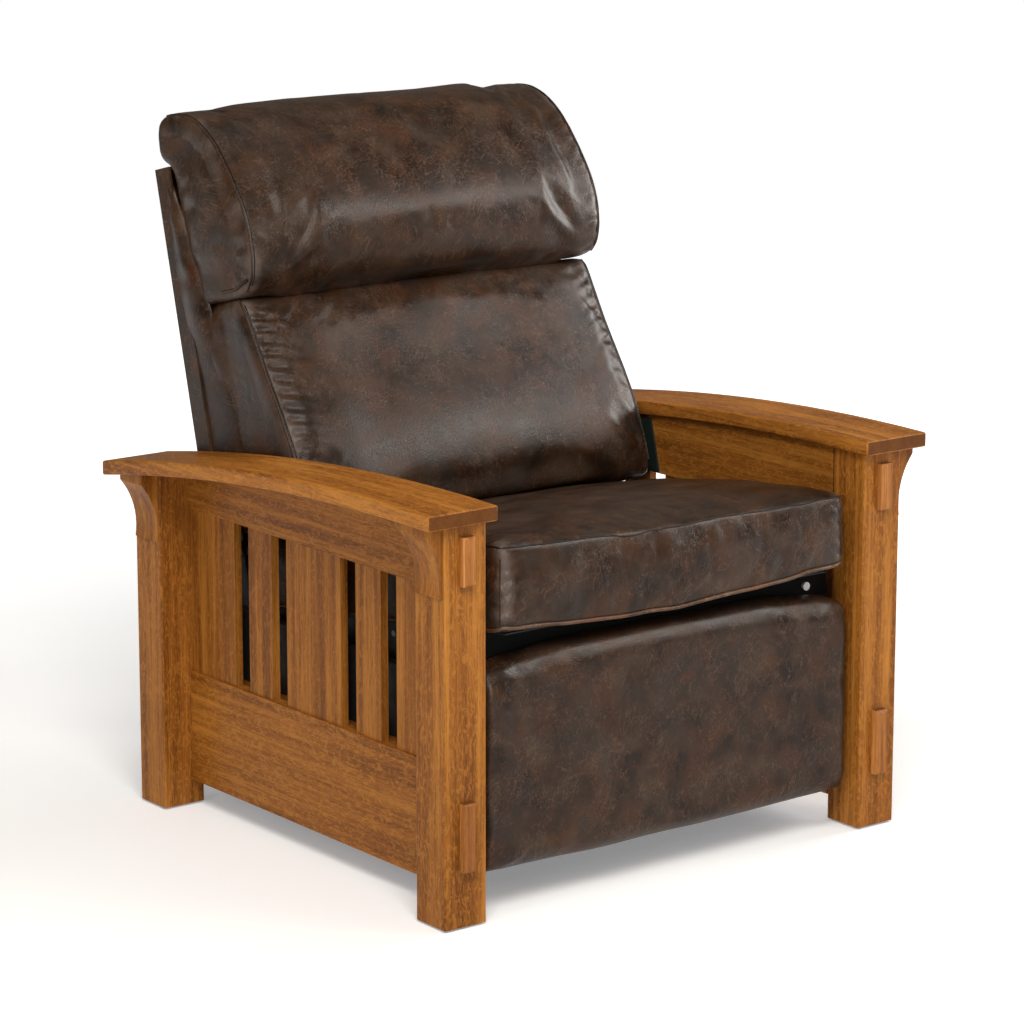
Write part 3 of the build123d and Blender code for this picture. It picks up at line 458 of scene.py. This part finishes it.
class Tilted:
    """A tilted direction pair: along and up, from a start point in the chair's (y, z) plane."""

    def __init__(self, start, along_y, along_z):
        self.start = start
        self.flat = (along_y, along_z)

    def out(self, x, along_it, up):
        cosine, sine = self.flat
        y = self.start[0] + along_it * cosine - up * sine
        z = self.start[1] + along_it * sine + up * cosine
        return Vector((x, y - chair_middle, z)) * mm

    def back(self, place):
        """The same place as (x, along, up), in millimetres."""
        cosine, sine = self.flat
        y = place.y / mm + chair_middle - self.start[0]
        z = place.z / mm - self.start[1]
        return place.x / mm, y * cosine + z * sine, z * cosine - y * sine


seat_frame = Tilted(seat_front, math.cos(seat_pitch), -math.sin(seat_pitch))
back_frame = Tilted(back_hinge, math.cos(back_rake), -math.sin(back_rake))
upright_frame = Tilted((0.0, 0.0), 1.0, 0.0)


def smooth_step(value, low, high):
    share = min(1.0, max(0.0, (value - low) / (high - low)))
    return share * share * (3 - 2 * share)


def surface_of(piece):
    bm = bmesh.new()
    bm.from_mesh(piece.data)
    tree = BVHTree.FromBMesh(bm)
    bm.free()
    return tree


def apply_modifiers(piece):
    seen = piece.evaluated_get(bpy.context.evaluated_depsgraph_get())
    mesh = bpy.data.meshes.new_from_object(seen)
    old = piece.data
    piece.modifiers.clear()
    piece.data = mesh
    bpy.data.meshes.remove(old)


def through(points, rounds=8):
    """Control points whose rounded outline passes close to the points given."""
    target = [Vector(point) for point in points]
    control = list(target)
    for _ in range(rounds):
        before = control[-1:] + control[:-1]
        after = control[1:] + control[:1]
        limit = [(a + 4 * b + c) / 6 for a, b, c in zip(before, control, after)]
        control = [point + goal - now for point, goal, now in zip(control, target, limit)]
    return [tuple(point) for point in control]


def cage(name, profile, stations, tilted, shape, levels=3):
    """A profile extruded across the chair through its stations, shaped, then rounded."""
    profile = through(profile)
    bm = bmesh.new()
    face = bm.faces.new([bm.verts.new((stations[0], *point)) for point in profile])
    for before, after in zip(stations, stations[1:]):
        grown = bmesh.ops.extrude_face_region(bm, geom=[face])
        face = next(item for item in grown["geom"] if isinstance(item, bmesh.types.BMFace))
        bmesh.ops.translate(bm, verts=face.verts, vec=(after - before, 0, 0))
    bm.faces.ensure_lookup_table()
    ends = [item for item in bm.faces if len(item.verts) == len(profile)]
    bmesh.ops.inset_individual(bm, faces=ends, thickness=end_inset)
    bmesh.ops.recalc_face_normals(bm, faces=bm.faces)
    for vertex in bm.verts:
        vertex.co = tilted.out(*shape(*vertex.co))
    mesh = bpy.data.meshes.new(name)
    bm.to_mesh(mesh)
    bm.free()
    piece = bpy.data.objects.new(name, mesh)
    bpy.context.scene.collection.objects.link(piece)
    rounding = piece.modifiers.new("rounding", "SUBSURF")
    rounding.levels = rounding.render_levels = levels
    remesh = piece.modifiers.new("even", "REMESH")
    remesh.mode = "VOXEL"
    remesh.voxel_size = cushion_voxel
    apply_modifiers(piece)
    smooth_points(piece, 3)
    return piece


def plump(piece, held, pressure, spare, cap):
    """Lets cloth swell over the core; held says how firmly a point is sewn down, 0 to 1."""
    rest = [vertex.co.copy() for vertex in piece.data.vertices]
    group = piece.vertex_groups.new(name="sewn")
    for index, place in enumerate(rest):
        share = held(place)
        if share > 0:
            group.add([index], share, "REPLACE")
    cloth = piece.modifiers.new("cloth", "CLOTH")
    settings = cloth.settings
    settings.quality = cloth_quality
    settings.mass = cloth_mass
    settings.tension_stiffness = cloth_stiffness
    settings.compression_stiffness = cloth_stiffness
    settings.shear_stiffness = cloth_stiffness / 2
    settings.bending_stiffness = cloth_bending
    settings.use_pressure = True
    settings.uniform_pressure_force = pressure
    settings.shrink_min = -spare
    settings.vertex_group_mass = "sewn"
    settings.effector_weights.gravity = 0
    cloth.collision_settings.use_collision = False
    cloth.collision_settings.use_self_collision = False
    cloth.point_cache.frame_start = 1
    cloth.point_cache.frame_end = settle_frames
    scene = bpy.context.scene
    for number in range(1, settle_frames + 1):
        scene.frame_set(number)
    apply_modifiers(piece)
    scene.frame_set(1)
    for vertex, start in zip(piece.data.vertices, rest):
        move = vertex.co - start
        if move.length > cap:
            vertex.co = start + move * (cap / move.length)


def smooth_points(piece, rounds, factor=0.5):
    bm = bmesh.new()
    bm.from_mesh(piece.data)
    for _ in range(rounds):
        bmesh.ops.smooth_vert(
            bm, verts=bm.verts, factor=factor, use_axis_x=True, use_axis_y=True, use_axis_z=True
        )
    bm.to_mesh(piece.data)
    bm.free()


class Pucker:
    """Small gathers square to a seam, from start to end, fading away from it."""

    def __init__(self, start, end, reach, pitch, depth, seed, weight=(1.0, 1.0), inward=False):
        self.start = start
        self.run = end - start
        self.reach = reach
        self.pitch = pitch
        self.depth = depth
        self.seed = seed
        self.weight = weight
        self.inward = inward

    def off(self, place):
        """How far a place lies from the seam, across the chair; far where it isn't beside it."""
        share = (place - self.start).dot(self.run) / self.run.length_squared
        beside = place - self.start - self.run * min(1.0, max(0.0, share))
        across_it = abs(beside.x)
        return across_it if (beside.yz).length < pucker_band else beside.length

    def rise(self, place):
        share = (place - self.start).dot(self.run) / self.run.length_squared
        if not -0.03 < share < 1.03:
            return 0.0
        off = self.off(place)
        if off > self.reach or (self.inward and abs(place.x) > abs(self.start.x)):
            return 0.0
        along_it = share * self.run.length
        wander = noise.noise(Vector((along_it * 9, off * 14, self.seed)))
        strength = 0.55 + 0.9 * abs(noise.noise(Vector((along_it * 21, self.seed, 0.0))))
        drooped = along_it + pucker_droop * off
        wave = math.sin(2 * math.pi * (drooped / self.pitch + 0.7 * wander))
        fade = (1 - off / self.reach) ** 1.4 * min(1.0, off / 0.004)
        strength *= self.weight[0] + (self.weight[1] - self.weight[0]) * share
        ends = smooth_step(share, -0.03, 0.06) * (1 - smooth_step(share, 0.94, 1.03))
        return self.depth * wave * fade * strength * ends


def worked(piece, puckers, dents, dent_size, seed):
    """Puckers at the seams and slow dents, along each point's normal, and a pale point mark: wear
    beside the seams that also paints their edges' highlight, and painted highlight on the puckers'
    ridges.
    """
    mesh = piece.data
    moves = []
    wear_and_sheen = mesh.attributes.new("wear_and_sheen", "FLOAT", "POINT")
    for vertex, mark in zip(mesh.vertices, wear_and_sheen.data):
        place = vertex.co
        rise = sum(pucker.rise(place) for pucker in puckers)
        off = min((pucker.off(place) for pucker in puckers), default=1.0)
        patch = smooth_step(noise.noise(place * 26 + Vector((seed, 0, 0))), -0.25, 0.35)
        beside = patch * (1 - smooth_step(off, 0.001, wear_reach))
        # Painted highlight: the mark lightens the ridges of the puckers, on top of the wear beside
        # the seams
        mark.value = min(1.0, beside + max(0.0, rise) * 110)
        rise += dents * noise.noise(place / dent_size + Vector((seed, seed, seed)))
        moves.append(vertex.normal * rise)
    for vertex, move in zip(mesh.vertices, moves):
        vertex.co += move


def soft_piece(piece, covers, body, held, swell, puckers, dents, seed):
    """Finishes a padded piece: swell, even out, work the surface, dress it in leather."""
    plump(piece, held, *swell)
    smooth_points(piece, 2)
    finer = piece.modifiers.new("finer", "SUBSURF")
    finer.levels = finer.render_levels = 1
    apply_modifiers(piece)
    worked(piece, puckers, dents * mm, dent_size, seed)
    dress(piece, body)
    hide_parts(*covers)
    return piece


def dress(piece, body, material=None):
    """Smooth shading, leather, and the body that carries the piece."""
    for polygon in piece.data.polygons:
        polygon.use_smooth = True
    piece.data.materials.clear()
    piece.data.materials.append(material or leather_material)
    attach(piece, body)


def seam(name, points, tree, body, radius, lift, wander=0.0, seed=0.0, material=None):
    """A welt, a seam's fold, or a dark cord of painted seam shade: a thin leather cord laid on a
    cushion's surface.
    """
    line = []
    for start, end in zip(points, points[1:]):
        steps = max(1, round((end - start).length / seam_step))
        line += [start.lerp(end, step / steps) for step in range(steps)]
    line.append(points[-1])
    curve = bpy.data.curves.new(name, "CURVE")
    curve.dimensions = "3D"
    curve.bevel_depth = radius
    curve.bevel_resolution = 2
    curve.use_fill_caps = True
    spline = curve.splines.new("NURBS")
    spline.points.add(len(line) - 1)
    for number, (knot, place) in enumerate(zip(spline.points, line)):
        drift = wander * noise.noise(Vector((number * 0.23, seed, 1.7)))
        place = place + Vector((0, 0, drift))
        spot, normal, index, distance = tree.find_nearest(place)
        knot.co = (*(spot + normal * lift), 1)
    spline.order_u = 3
    spline.use_endpoint_u = True
    drawn = bpy.data.objects.new(name, curve)
    bpy.context.scene.collection.objects.link(drawn)
    seen = drawn.evaluated_get(bpy.context.evaluated_depsgraph_get())
    mesh = bpy.data.meshes.new_from_object(seen)
    bpy.data.objects.remove(drawn)
    piece = bpy.data.objects.new(name, mesh)
    bpy.context.scene.collection.objects.link(piece)
    dress(piece, body, material)
    return piece


leather_material = leather("distressed_leather")

# Seat cushion

seat_half = 306.0
seat_boxing = 110.0
seat_crown = 11.0
seat_sag = 13.0
seat_left_rise = 14.0
seat_lean = -14.0
seat_front_zone = (10, 110)
seat_top_zone = (60, 110)
seat_low_zone = (6, 90)
seat_front_bulge = 6
seat_end_zone = 15
seat_end_tuck = 7
seat_profile = (
    (4, 6), (-3, 12), (-8, 36), (-12, 72), (seat_lean - 2, 100), (seat_lean + 1, 107),
    (seat_lean + 10, seat_boxing + 2), (30, 114), (110, 116), (210, 117), (360, 111), (480, 101),
    (560, 92), (584, 84), (587, 60), (587, 30), (584, 8), (560, 3), (400, 2), (200, 2), (60, 3),
    (18, 4),
)
seat_stations = (-seat_half, -seat_half + 14, -190, 0, 190, seat_half - 14, seat_half)


def seat_shape(x, along_it, up):
    middle = max(0.0, 1 - (x / seat_half) ** 2)
    front = 1 - smooth_step(along_it, *seat_front_zone)
    end = smooth_step(abs(x), seat_half - seat_end_zone, seat_half)
    up += seat_crown * middle * smooth_step(up, *seat_top_zone) * (1 - 0.9 * front)
    up += seat_left_rise * smooth_step(-x, 60, seat_half) * front * smooth_step(up, *seat_top_zone)
    up -= seat_sag * middle * front * (1 - smooth_step(up, *seat_low_zone))
    along_it -= seat_front_bulge * middle * front
    along_it += seat_end_tuck * end * front
    return x, along_it, up


def seat_held(place):
    x, along_it, up = seat_frame.back(place)
    if up < 6 or along_it > 560:
        return 1.0
    crowned = seat_crown * 0.4 * (1 - (x / seat_half) ** 2)
    edge = math.hypot(along_it - seat_lean - 2, up - 105 - crowned)
    return seam_firmness if edge < 9 else 0.0


def seat_end_pucker(side, seed):
    high = seat_frame.out(side * 296, -12, 100)
    low = seat_frame.out(side * 296, 0, 10)
    return Pucker(high, low, reach=0.035, pitch=0.019, depth=0.0016, seed=seed)


seat_cushion = soft_piece(
    cage("seat_cushion", seat_profile, seat_stations, seat_frame, seat_shape),
    ("seat_cushion_cover", "seat_cushion_foam"),
    "seat",
    seat_held,
    swell=(2.5, 0.01, 0.005),
    puckers=[seat_end_pucker(-1, 3.0), seat_end_pucker(1, 4.0)],
    dents=2.2,
    seed=1.0,
)

# Lower back cushion

back_half = 313.0
back_plane = -13
back_profile = (
    (back_plane, 64), (-50, 52), (-120, 36), (-190, 19), (-212, 15), (-222, 22), (-226, 40),
    (-224, 80), (-215, 132), (-197, 190), (-178, 240), (-160, 296), (-148, 334), (-142, 348),
    (-128, 355), (-70, 356), (-25, 354), (back_plane, 344), (back_plane, 250), (back_plane, 150),
    (back_plane, 90),
)
back_stations = (-back_half, -back_half + 9, -210, 0, 210, back_half - 9, back_half)
back_crown = 15.0
back_slope = 0.29
crown_zone = (-150, -40)
wing_inset = 8.0
wing_inset_from = 250


def back_shape(x, behind, up):
    middle = max(0.0, 1 - abs(x / back_half) ** 2.6)
    front = 1 - smooth_step(behind, *crown_zone)
    behind -= back_crown * middle * front
    ends = smooth_step(abs(x), wing_inset_from, back_half)
    x -= math.copysign(wing_inset, x) * ends * smooth_step(behind, -105, -60)
    return x, behind, up


def back_held(place):
    x, behind, up = back_frame.back(place)
    if behind > -22 or up > 346:
        return 1.0
    front_line = -226 + max(0.0, up - 60) * back_slope
    if abs(x) > back_half - 12 and behind < front_line + 22:
        return seam_firmness
    return 0.35 if abs(x) > back_half - 5 else 0.0


back_pucker_half = 302
back_pucker_low = (-224, 60)
back_cushion = soft_piece(
    cage("back_cushion", back_profile, back_stations, back_frame, back_shape),
    ("back_cushion_cover", "back_cushion_foam"),
    "back",
    back_held,
    swell=(3.5, 0.015, 0.009),
    puckers=[
        Pucker(
            back_frame.out(-back_pucker_half, *back_pucker_low),
            back_frame.out(-back_pucker_half, -150, 342),
            reach=0.060, pitch=0.0205, depth=0.0034, seed=7.0, weight=(0.15, 1.15), inward=True,
        ),
        Pucker(
            back_frame.out(back_pucker_half, *back_pucker_low),
            back_frame.out(back_pucker_half, -148, 338),
            reach=0.048, pitch=0.0215, depth=0.0026, seed=8.0, weight=(0.20, 0.8), inward=True,
        ),
    ],
    dents=2.4,
    seed=2.0,
)

# Head pillow

pillow_half = 316.0
pillow_profile = (
    (back_plane, 356), (-60, 354), (-120, 354), (-160, 360), (-179, 378), (-188, 408),
    (-189, 445), (-180, 484), (-160, 530), (-132, 578), (-98, 611), (-62, 628), (-22, 633),
    (2, 622), (10, 598), (8, 572), (-4, 562), (back_plane, 550), (back_plane, 500),
    (back_plane, 430),
)
pillow_stations = (-pillow_half, -pillow_half + 12, -200, 0, 200, pillow_half - 12, pillow_half)
pillow_crown = 24.0
pillow_centre = Vector((-85.0, 480.0))
pillow_free_reach = 78
pillow_firmness = 0.85


def pillow_shape(x, behind, up):
    middle = max(0.0, 1 - abs(x / pillow_half) ** 3)
    front = 1 - smooth_step(behind, *crown_zone)
    behind -= pillow_crown * middle * front
    up += 0.15 * pillow_crown * middle * smooth_step(up, 540, 620)
    ends = smooth_step(abs(x), wing_inset_from, pillow_half)
    x -= math.copysign(wing_inset, x) * ends * (
        smooth_step(behind, -75, -30) * (1 - smooth_step(up, 545, 575))
    )
    return x, behind, up


def pillow_held(place):
    x, behind, up = back_frame.back(place)
    if behind > -20 and up < 570:
        return 1.0
    reach = (Vector((behind, up)) - pillow_centre).length
    if reach > pillow_free_reach:
        return pillow_firmness * smooth_step(abs(x), pillow_half - 70, pillow_half - 14)
    return 0.0


def pillow_rim(x, start=3, end=13):
    return [back_frame.out(x, *point) for point in pillow_profile[start:end]]


pillow_puckers = []
for side in (-1, 1):
    rim = pillow_rim(side * (pillow_half - 8))
    for number, (start, end) in enumerate(zip(rim, rim[1:])):
        strength = 1.0 if number < 3 else 0.45
        pillow_puckers.append(
            Pucker(
                start, end, reach=0.036, pitch=0.023, depth=0.0012 * strength,
                seed=11.0 + number + side,
            )
        )
head_pillow = soft_piece(
    cage("head_pillow", pillow_profile, pillow_stations, back_frame, pillow_shape),
    ("head_pillow_cover", "head_pillow_foam"),
    "back",
    pillow_held,
    swell=(3.5, 0.015, 0.006),
    puckers=pillow_puckers,
    dents=2.6,
    seed=3.0,
)

# Footrest pad

footrest_half = 321.0
footrest_low = 52.0
footrest_high = 348.0
footrest_front_y = 13.0
footrest_back_y = 56.5
footrest_crown = 11.0
footrest_corner = 50
footrest_corner_drop = 13
footrest_corner_lift = 5
footrest_profile = (
    (footrest_back_y, footrest_low + 4), (footrest_front_y + 20, footrest_low + 1),
    (footrest_front_y + 7, footrest_low + 6), (footrest_front_y + 1, footrest_low + 24),
    (footrest_front_y, footrest_low + 80), (footrest_front_y - 1, 200),
    (footrest_front_y, footrest_high - 80), (footrest_front_y + 1, footrest_high - 32),
    (footrest_front_y + 6, footrest_high - 8), (footrest_front_y + 18, footrest_high),
    (footrest_back_y, footrest_high - 1), (footrest_back_y, footrest_high - 30),
    (footrest_back_y, 200), (footrest_back_y, footrest_low + 30),
)
footrest_stations = (
    -footrest_half, -footrest_half + 6, -footrest_half + 30, -180, 0, 180, footrest_half - 30,
    footrest_half - 6, footrest_half,
)


def footrest_shape(x, y, z):
    middle = max(0.0, 1 - abs(x / footrest_half) ** 2.4)
    end = smooth_step(abs(x), footrest_half - footrest_corner, footrest_half)
    z += footrest_crown * middle * smooth_step(z, 250, footrest_high)
    z -= footrest_corner_drop * end * smooth_step(z, footrest_high - 60, footrest_high)
    foot = 1 - smooth_step(z, footrest_low, footrest_low + footrest_corner)
    z += footrest_corner_lift * end * foot
    return x, y, z


def footrest_held(place):
    x, y, z = upright_frame.back(place)
    return 1.0 if y > 50 else 0.0


soft_piece(
    cage("footrest_pad", footrest_profile, footrest_stations, upright_frame, footrest_shape),
    ("footrest_cover", "footrest_foam"),
    "footrest",
    footrest_held,
    swell=(2.0, 0.005, 0.003),
    puckers=[],
    dents=1.8,
    seed=4.0,
)
paint_node("outside_back", leather_material)

# Side wings: the leather strip from the outside back round to a rolled fold beside the cushions

wing_levels = (70, 110, 180, 246, 290, 336, 386, 436, 476, 516, 545)
wing_fold = (-104, -98, -88, -76, -70, -62, -52, -40, -28, -15, -4)
wing_rear = 8.0
wing_sunk = 307.0
wing_proud = (3.0, 3.0, 3.0, 3.4, 5.0, 9.5, 11.0, 11.0, 10.0, 7.5, 4.0)
wing_across = 10
wing_upward = 60
wing_skin = 2.5
wing_sag = 2.5
wing_roll_start = 0.12
wing_roll_ease = 1.6
wing_roll_round = 0.7


def between(levels, values, level):
    """The value at a level, smoothly between the listed ones."""
    for low, high, first, second in zip(levels, levels[1:], values, values[1:]):
        if level <= high:
            return first + (second - first) * smooth_step(level, low, high)
    return values[-1]


def side_wing(side, word, seed):
    """One side's strip of leather, rolled over towards the cushions at its front edge."""
    bm = bmesh.new()
    bmesh.ops.create_grid(bm, x_segments=wing_across, y_segments=wing_upward, size=0.5)
    low, high = wing_levels[0], wing_levels[-1]
    for vertex in bm.verts:
        share = vertex.co.x + 0.5
        up = low + (high - low) * (vertex.co.y + 0.5)
        fold = between(wing_levels, wing_fold, up)
        proud = between(wing_levels, wing_proud, up)
        behind = wing_rear + (fold - wing_rear) * share
        turned = wing_roll_start + share ** wing_roll_ease * (1 - wing_roll_start)
        roll = math.sin(math.pi * min(1.0, turned)) ** wing_roll_round
        sag = wing_sag * noise.noise(Vector((up * 0.035, share * 1.4, seed)))
        x = wing_sunk + proud * roll + sag * roll * smooth_step(up, 240, 330)
        vertex.co = back_frame.out(side * x, behind, up)
    mesh = bpy.data.meshes.new(f"back_wing_{word}")
    bmesh.ops.recalc_face_normals(bm, faces=bm.faces)
    bm.to_mesh(mesh)
    bm.free()
    piece = bpy.data.objects.new(f"back_wing_{word}", mesh)
    bpy.context.scene.collection.objects.link(piece)
    wall = piece.modifiers.new("skin", "SOLIDIFY")
    wall.thickness = wing_skin * mm
    wall.offset = 0.0
    rounding = piece.modifiers.new("rounding", "SUBSURF")
    rounding.levels = rounding.render_levels = 1
    apply_modifiers(piece)
    dress(piece, "back")
    return piece


both_sides = ((-1, "left"), (1, "right"))
back_wings = {word: side_wing(side, word, 5.0 + side) for side, word in both_sides}

# Seams and welts

seat_surface = surface_of(seat_cushion)
back_surface = surface_of(back_cushion)
pillow_surface = surface_of(head_pillow)
seam_inner = 0.0012
seam_lift = 0.0002
edge_radius = 0.0020
welt_radius = 0.0028
welt_lift = 0.0014
welt_wander = 0.003
pillow_seam_share = 0.85
wing_seam_radius = 0.0011
wing_seam_lift = 0.0004
tuck_radius = 0.0024
tuck_lift = 0.0006
seat_seam_half = seat_half - 6
seam_shares = (-1, -0.75, -0.5, -0.25, 0, 0.25, 0.5, 0.75, 1)
welt_shares = (-1, -0.5, 0, 0.5, 1)
# The seams' dark cords are painted shade: darkened leather standing in for the shadow in each
# seam's crease
seam_shade_material = leather("seam_shadow", light=0.22, seed=2.0)
piping_material = leather("piping_leather", light=2.5, seed=4.0)


def seat_top_line(x):
    """The top front seam: higher at the left, with a slow wave."""
    wave = 2 * noise.noise(Vector((x * 0.011, 0, 0)))
    rise = seat_left_rise * smooth_step(-x, 60, seat_half) + wave
    return seat_frame.out(x, seat_lean - 1, 105 + rise)


def seat_low_line(share):
    """The low front welt, which sags in the middle."""
    return seat_frame.out(share * seat_seam_half, -4, 11 - seat_sag * (1 - share * share))


seat_top_front = [seat_top_line(share * seat_seam_half) for share in seam_shares]
seat_low_front = [seat_low_line(share) for share in welt_shares]
# The top seam's dark cord is painted shade in its crease
for name, front_line, rear_up, radius, lift, material in (
    ("seat_top_seam", seat_top_front, 86, seam_inner, seam_lift, seam_shade_material),
    ("seat_low_welt", seat_low_front, 6, welt_radius, welt_lift, piping_material),
):
    rear_left = seat_frame.out(-seat_half, 540, rear_up)
    rear_right = seat_frame.out(seat_half, 540, rear_up)
    seam(
        name, [rear_left] + front_line + [rear_right], seat_surface, "seat", radius, lift,
        wander=welt_wander, seed=len(name), material=material,
    )
back_edge = (
    (-224, 40), (-222, 80), (-213, 132), (-195, 190), (-176, 240), (-158, 296), (-146, 334),
    (-136, 352),
)
seat_corner = ((-12, 103), (0, 9))
wing_seam_line = ((-58, 318), (-66, 290), (-74, 246), (-85, 180), (-95, 110))
pillow_tuck_line = ((-172, 377), (-140, 368), (-108, 368))
for side, word in both_sides:
    seam(
        f"seat_corner_seam_{word}",
        [seat_frame.out(side * (seat_half - 4), *point) for point in seat_corner],
        seat_surface, "seat", seam_inner, seam_lift,
    )
    # The second cord of each side is darkened: painted shade in the seam's crease
    for kind, inward, radius, lift, material in (
        ("edge", 5, edge_radius, seam_lift, leather_material),
        ("shade_line", 9, seam_inner, -seam_lift, seam_shade_material),
    ):
        seam(
            f"back_{kind}_seam_{word}",
            [back_frame.out(side * (back_half - inward), *point) for point in back_edge],
            back_surface, "back", radius, lift, material=material,
        )
        seam(
            f"pillow_{kind}_seam_{word}",
            pillow_rim(side * (pillow_half - inward - 1)),
            pillow_surface, "back", pillow_seam_share * radius, lift, material=material,
        )
    seam(
        f"wing_seam_{word}",
        [back_frame.out(side * wing_sunk, *point) for point in wing_seam_line],
        surface_of(back_wings[word]), "back", wing_seam_radius, wing_seam_lift,
        material=piping_material,
    )
    seam(
        f"pillow_tuck_{word}",
        [back_frame.out(side * pillow_half, *point) for point in pillow_tuck_line],
        pillow_surface, "back", tuck_radius, tuck_lift,
    )


# Floor, light and finish

world_light = (0.20, 0.178, 0.152)
floor_glow_near = 0.25
floor_glow_far = 0.95
floor_size = 9.0
warm_white = (1.0, 0.96, 0.90)
soft_white = (1.0, 0.97, 0.96)
sheen_white = (1.0, 0.97, 0.93)
# Each light's name, place, aim, size, power, colour, and whether it only gives a sheen
studio_lights = (
    ("key", (-1.9, -2.5, 3.5), (0, 0, 0.6), (1.8, 1.8), 150, warm_white, False),
    ("fill", (1.9, -3.1, 2.3), (0, 0, 0.7), (1.5, 1.5), 26, (1.0, 0.96, 0.91), False),
    ("right_rim", (3.1, -0.3, 1.7), (0.2, 0, 0.7), (1.2, 1.5), 56, soft_white, False),
    ("left_rim", (-3.0, -0.9, 1.6), (-0.2, 0, 0.7), (0.8, 1.4), 14, soft_white, False),
    ("top", (0.3, 0.4, 3.6), (0, 0, 0.6), (2.4, 1.6), 14, (1, 1, 1), False),
    ("back_sheen", (2.0, -2.2, 2.4), (0, 0, 0.8), (1.0, 0.8), 55, sheen_white, True),
    ("right_sheen", (3.0, -1.0, 1.0), (0.2, 0, 0.7), (0.7, 1.0), 55, sheen_white, True),
    ("left_sheen", (-1.5, -3.6, 0.9), (0, 0, 0.5), (0.7, 1.2), 60, sheen_white, True),
)


def add_floor():
    """A pale floor that glows more towards its edges, so it meets the white behind."""
    bpy.ops.mesh.primitive_plane_add(size=floor_size, location=(0, 0, 0))
    floor = bpy.context.object
    floor.name = "floor"
    p = Paint("pale_floor")
    spots = p.cloud(p.place((1, 1, 1)), scale=3, detail=2)
    tint = p.mix(p.step(spots, 0.3, 0.7), (0.86, 0.86, 0.855), (0.88, 0.88, 0.875))
    far = p.node("VectorMath", {"operation": "LENGTH"}, Vector=p.place((1, 1, 1))).outputs["Value"]
    floor.data.materials.append(
        p.finish(
            Base_Color=tint,
            Roughness=0.9,
            Emission_Color=(0.90, 0.95, 1.0),
            Emission_Strength=p.step(far, 0.7, 3.2, floor_glow_near, floor_glow_far),
        )
    )


def add_light(name, place, target, size, power, colour, sheen_only):
    data = bpy.data.lights.new(name, "AREA")
    data.shape = "RECTANGLE"
    data.size, data.size_y = size
    data.energy = power
    data.color = colour
    light = bpy.data.objects.new(name, data)
    bpy.context.scene.collection.objects.link(light)
    light.location = place
    aim = Vector(target) - Vector(place)
    light.rotation_euler = aim.to_track_quat("-Z", "Y").to_euler()
    light.visible_diffuse = not sheen_only


def add_world():
    """White to the camera, and a dimmer, warmer light on the chair."""
    world = bpy.data.worlds.new("studio")
    world.use_nodes = True
    tree = world.node_tree
    path = tree.nodes.new("ShaderNodeLightPath")
    choose = tree.nodes.new("ShaderNodeMix")
    choose.data_type = "RGBA"
    choose.inputs[6].default_value = (*world_light, 1)
    choose.inputs[7].default_value = (1, 1, 1, 1)
    tree.links.new(path.outputs["Is Camera Ray"], choose.inputs[0])
    tree.links.new(choose.outputs[2], tree.nodes["Background"].inputs["Color"])
    bpy.context.scene.world = world


add_floor()
add_world()
for studio_light in studio_lights:
    add_light(*studio_light)
bpy.context.scene.view_settings.view_transform = "Standard"
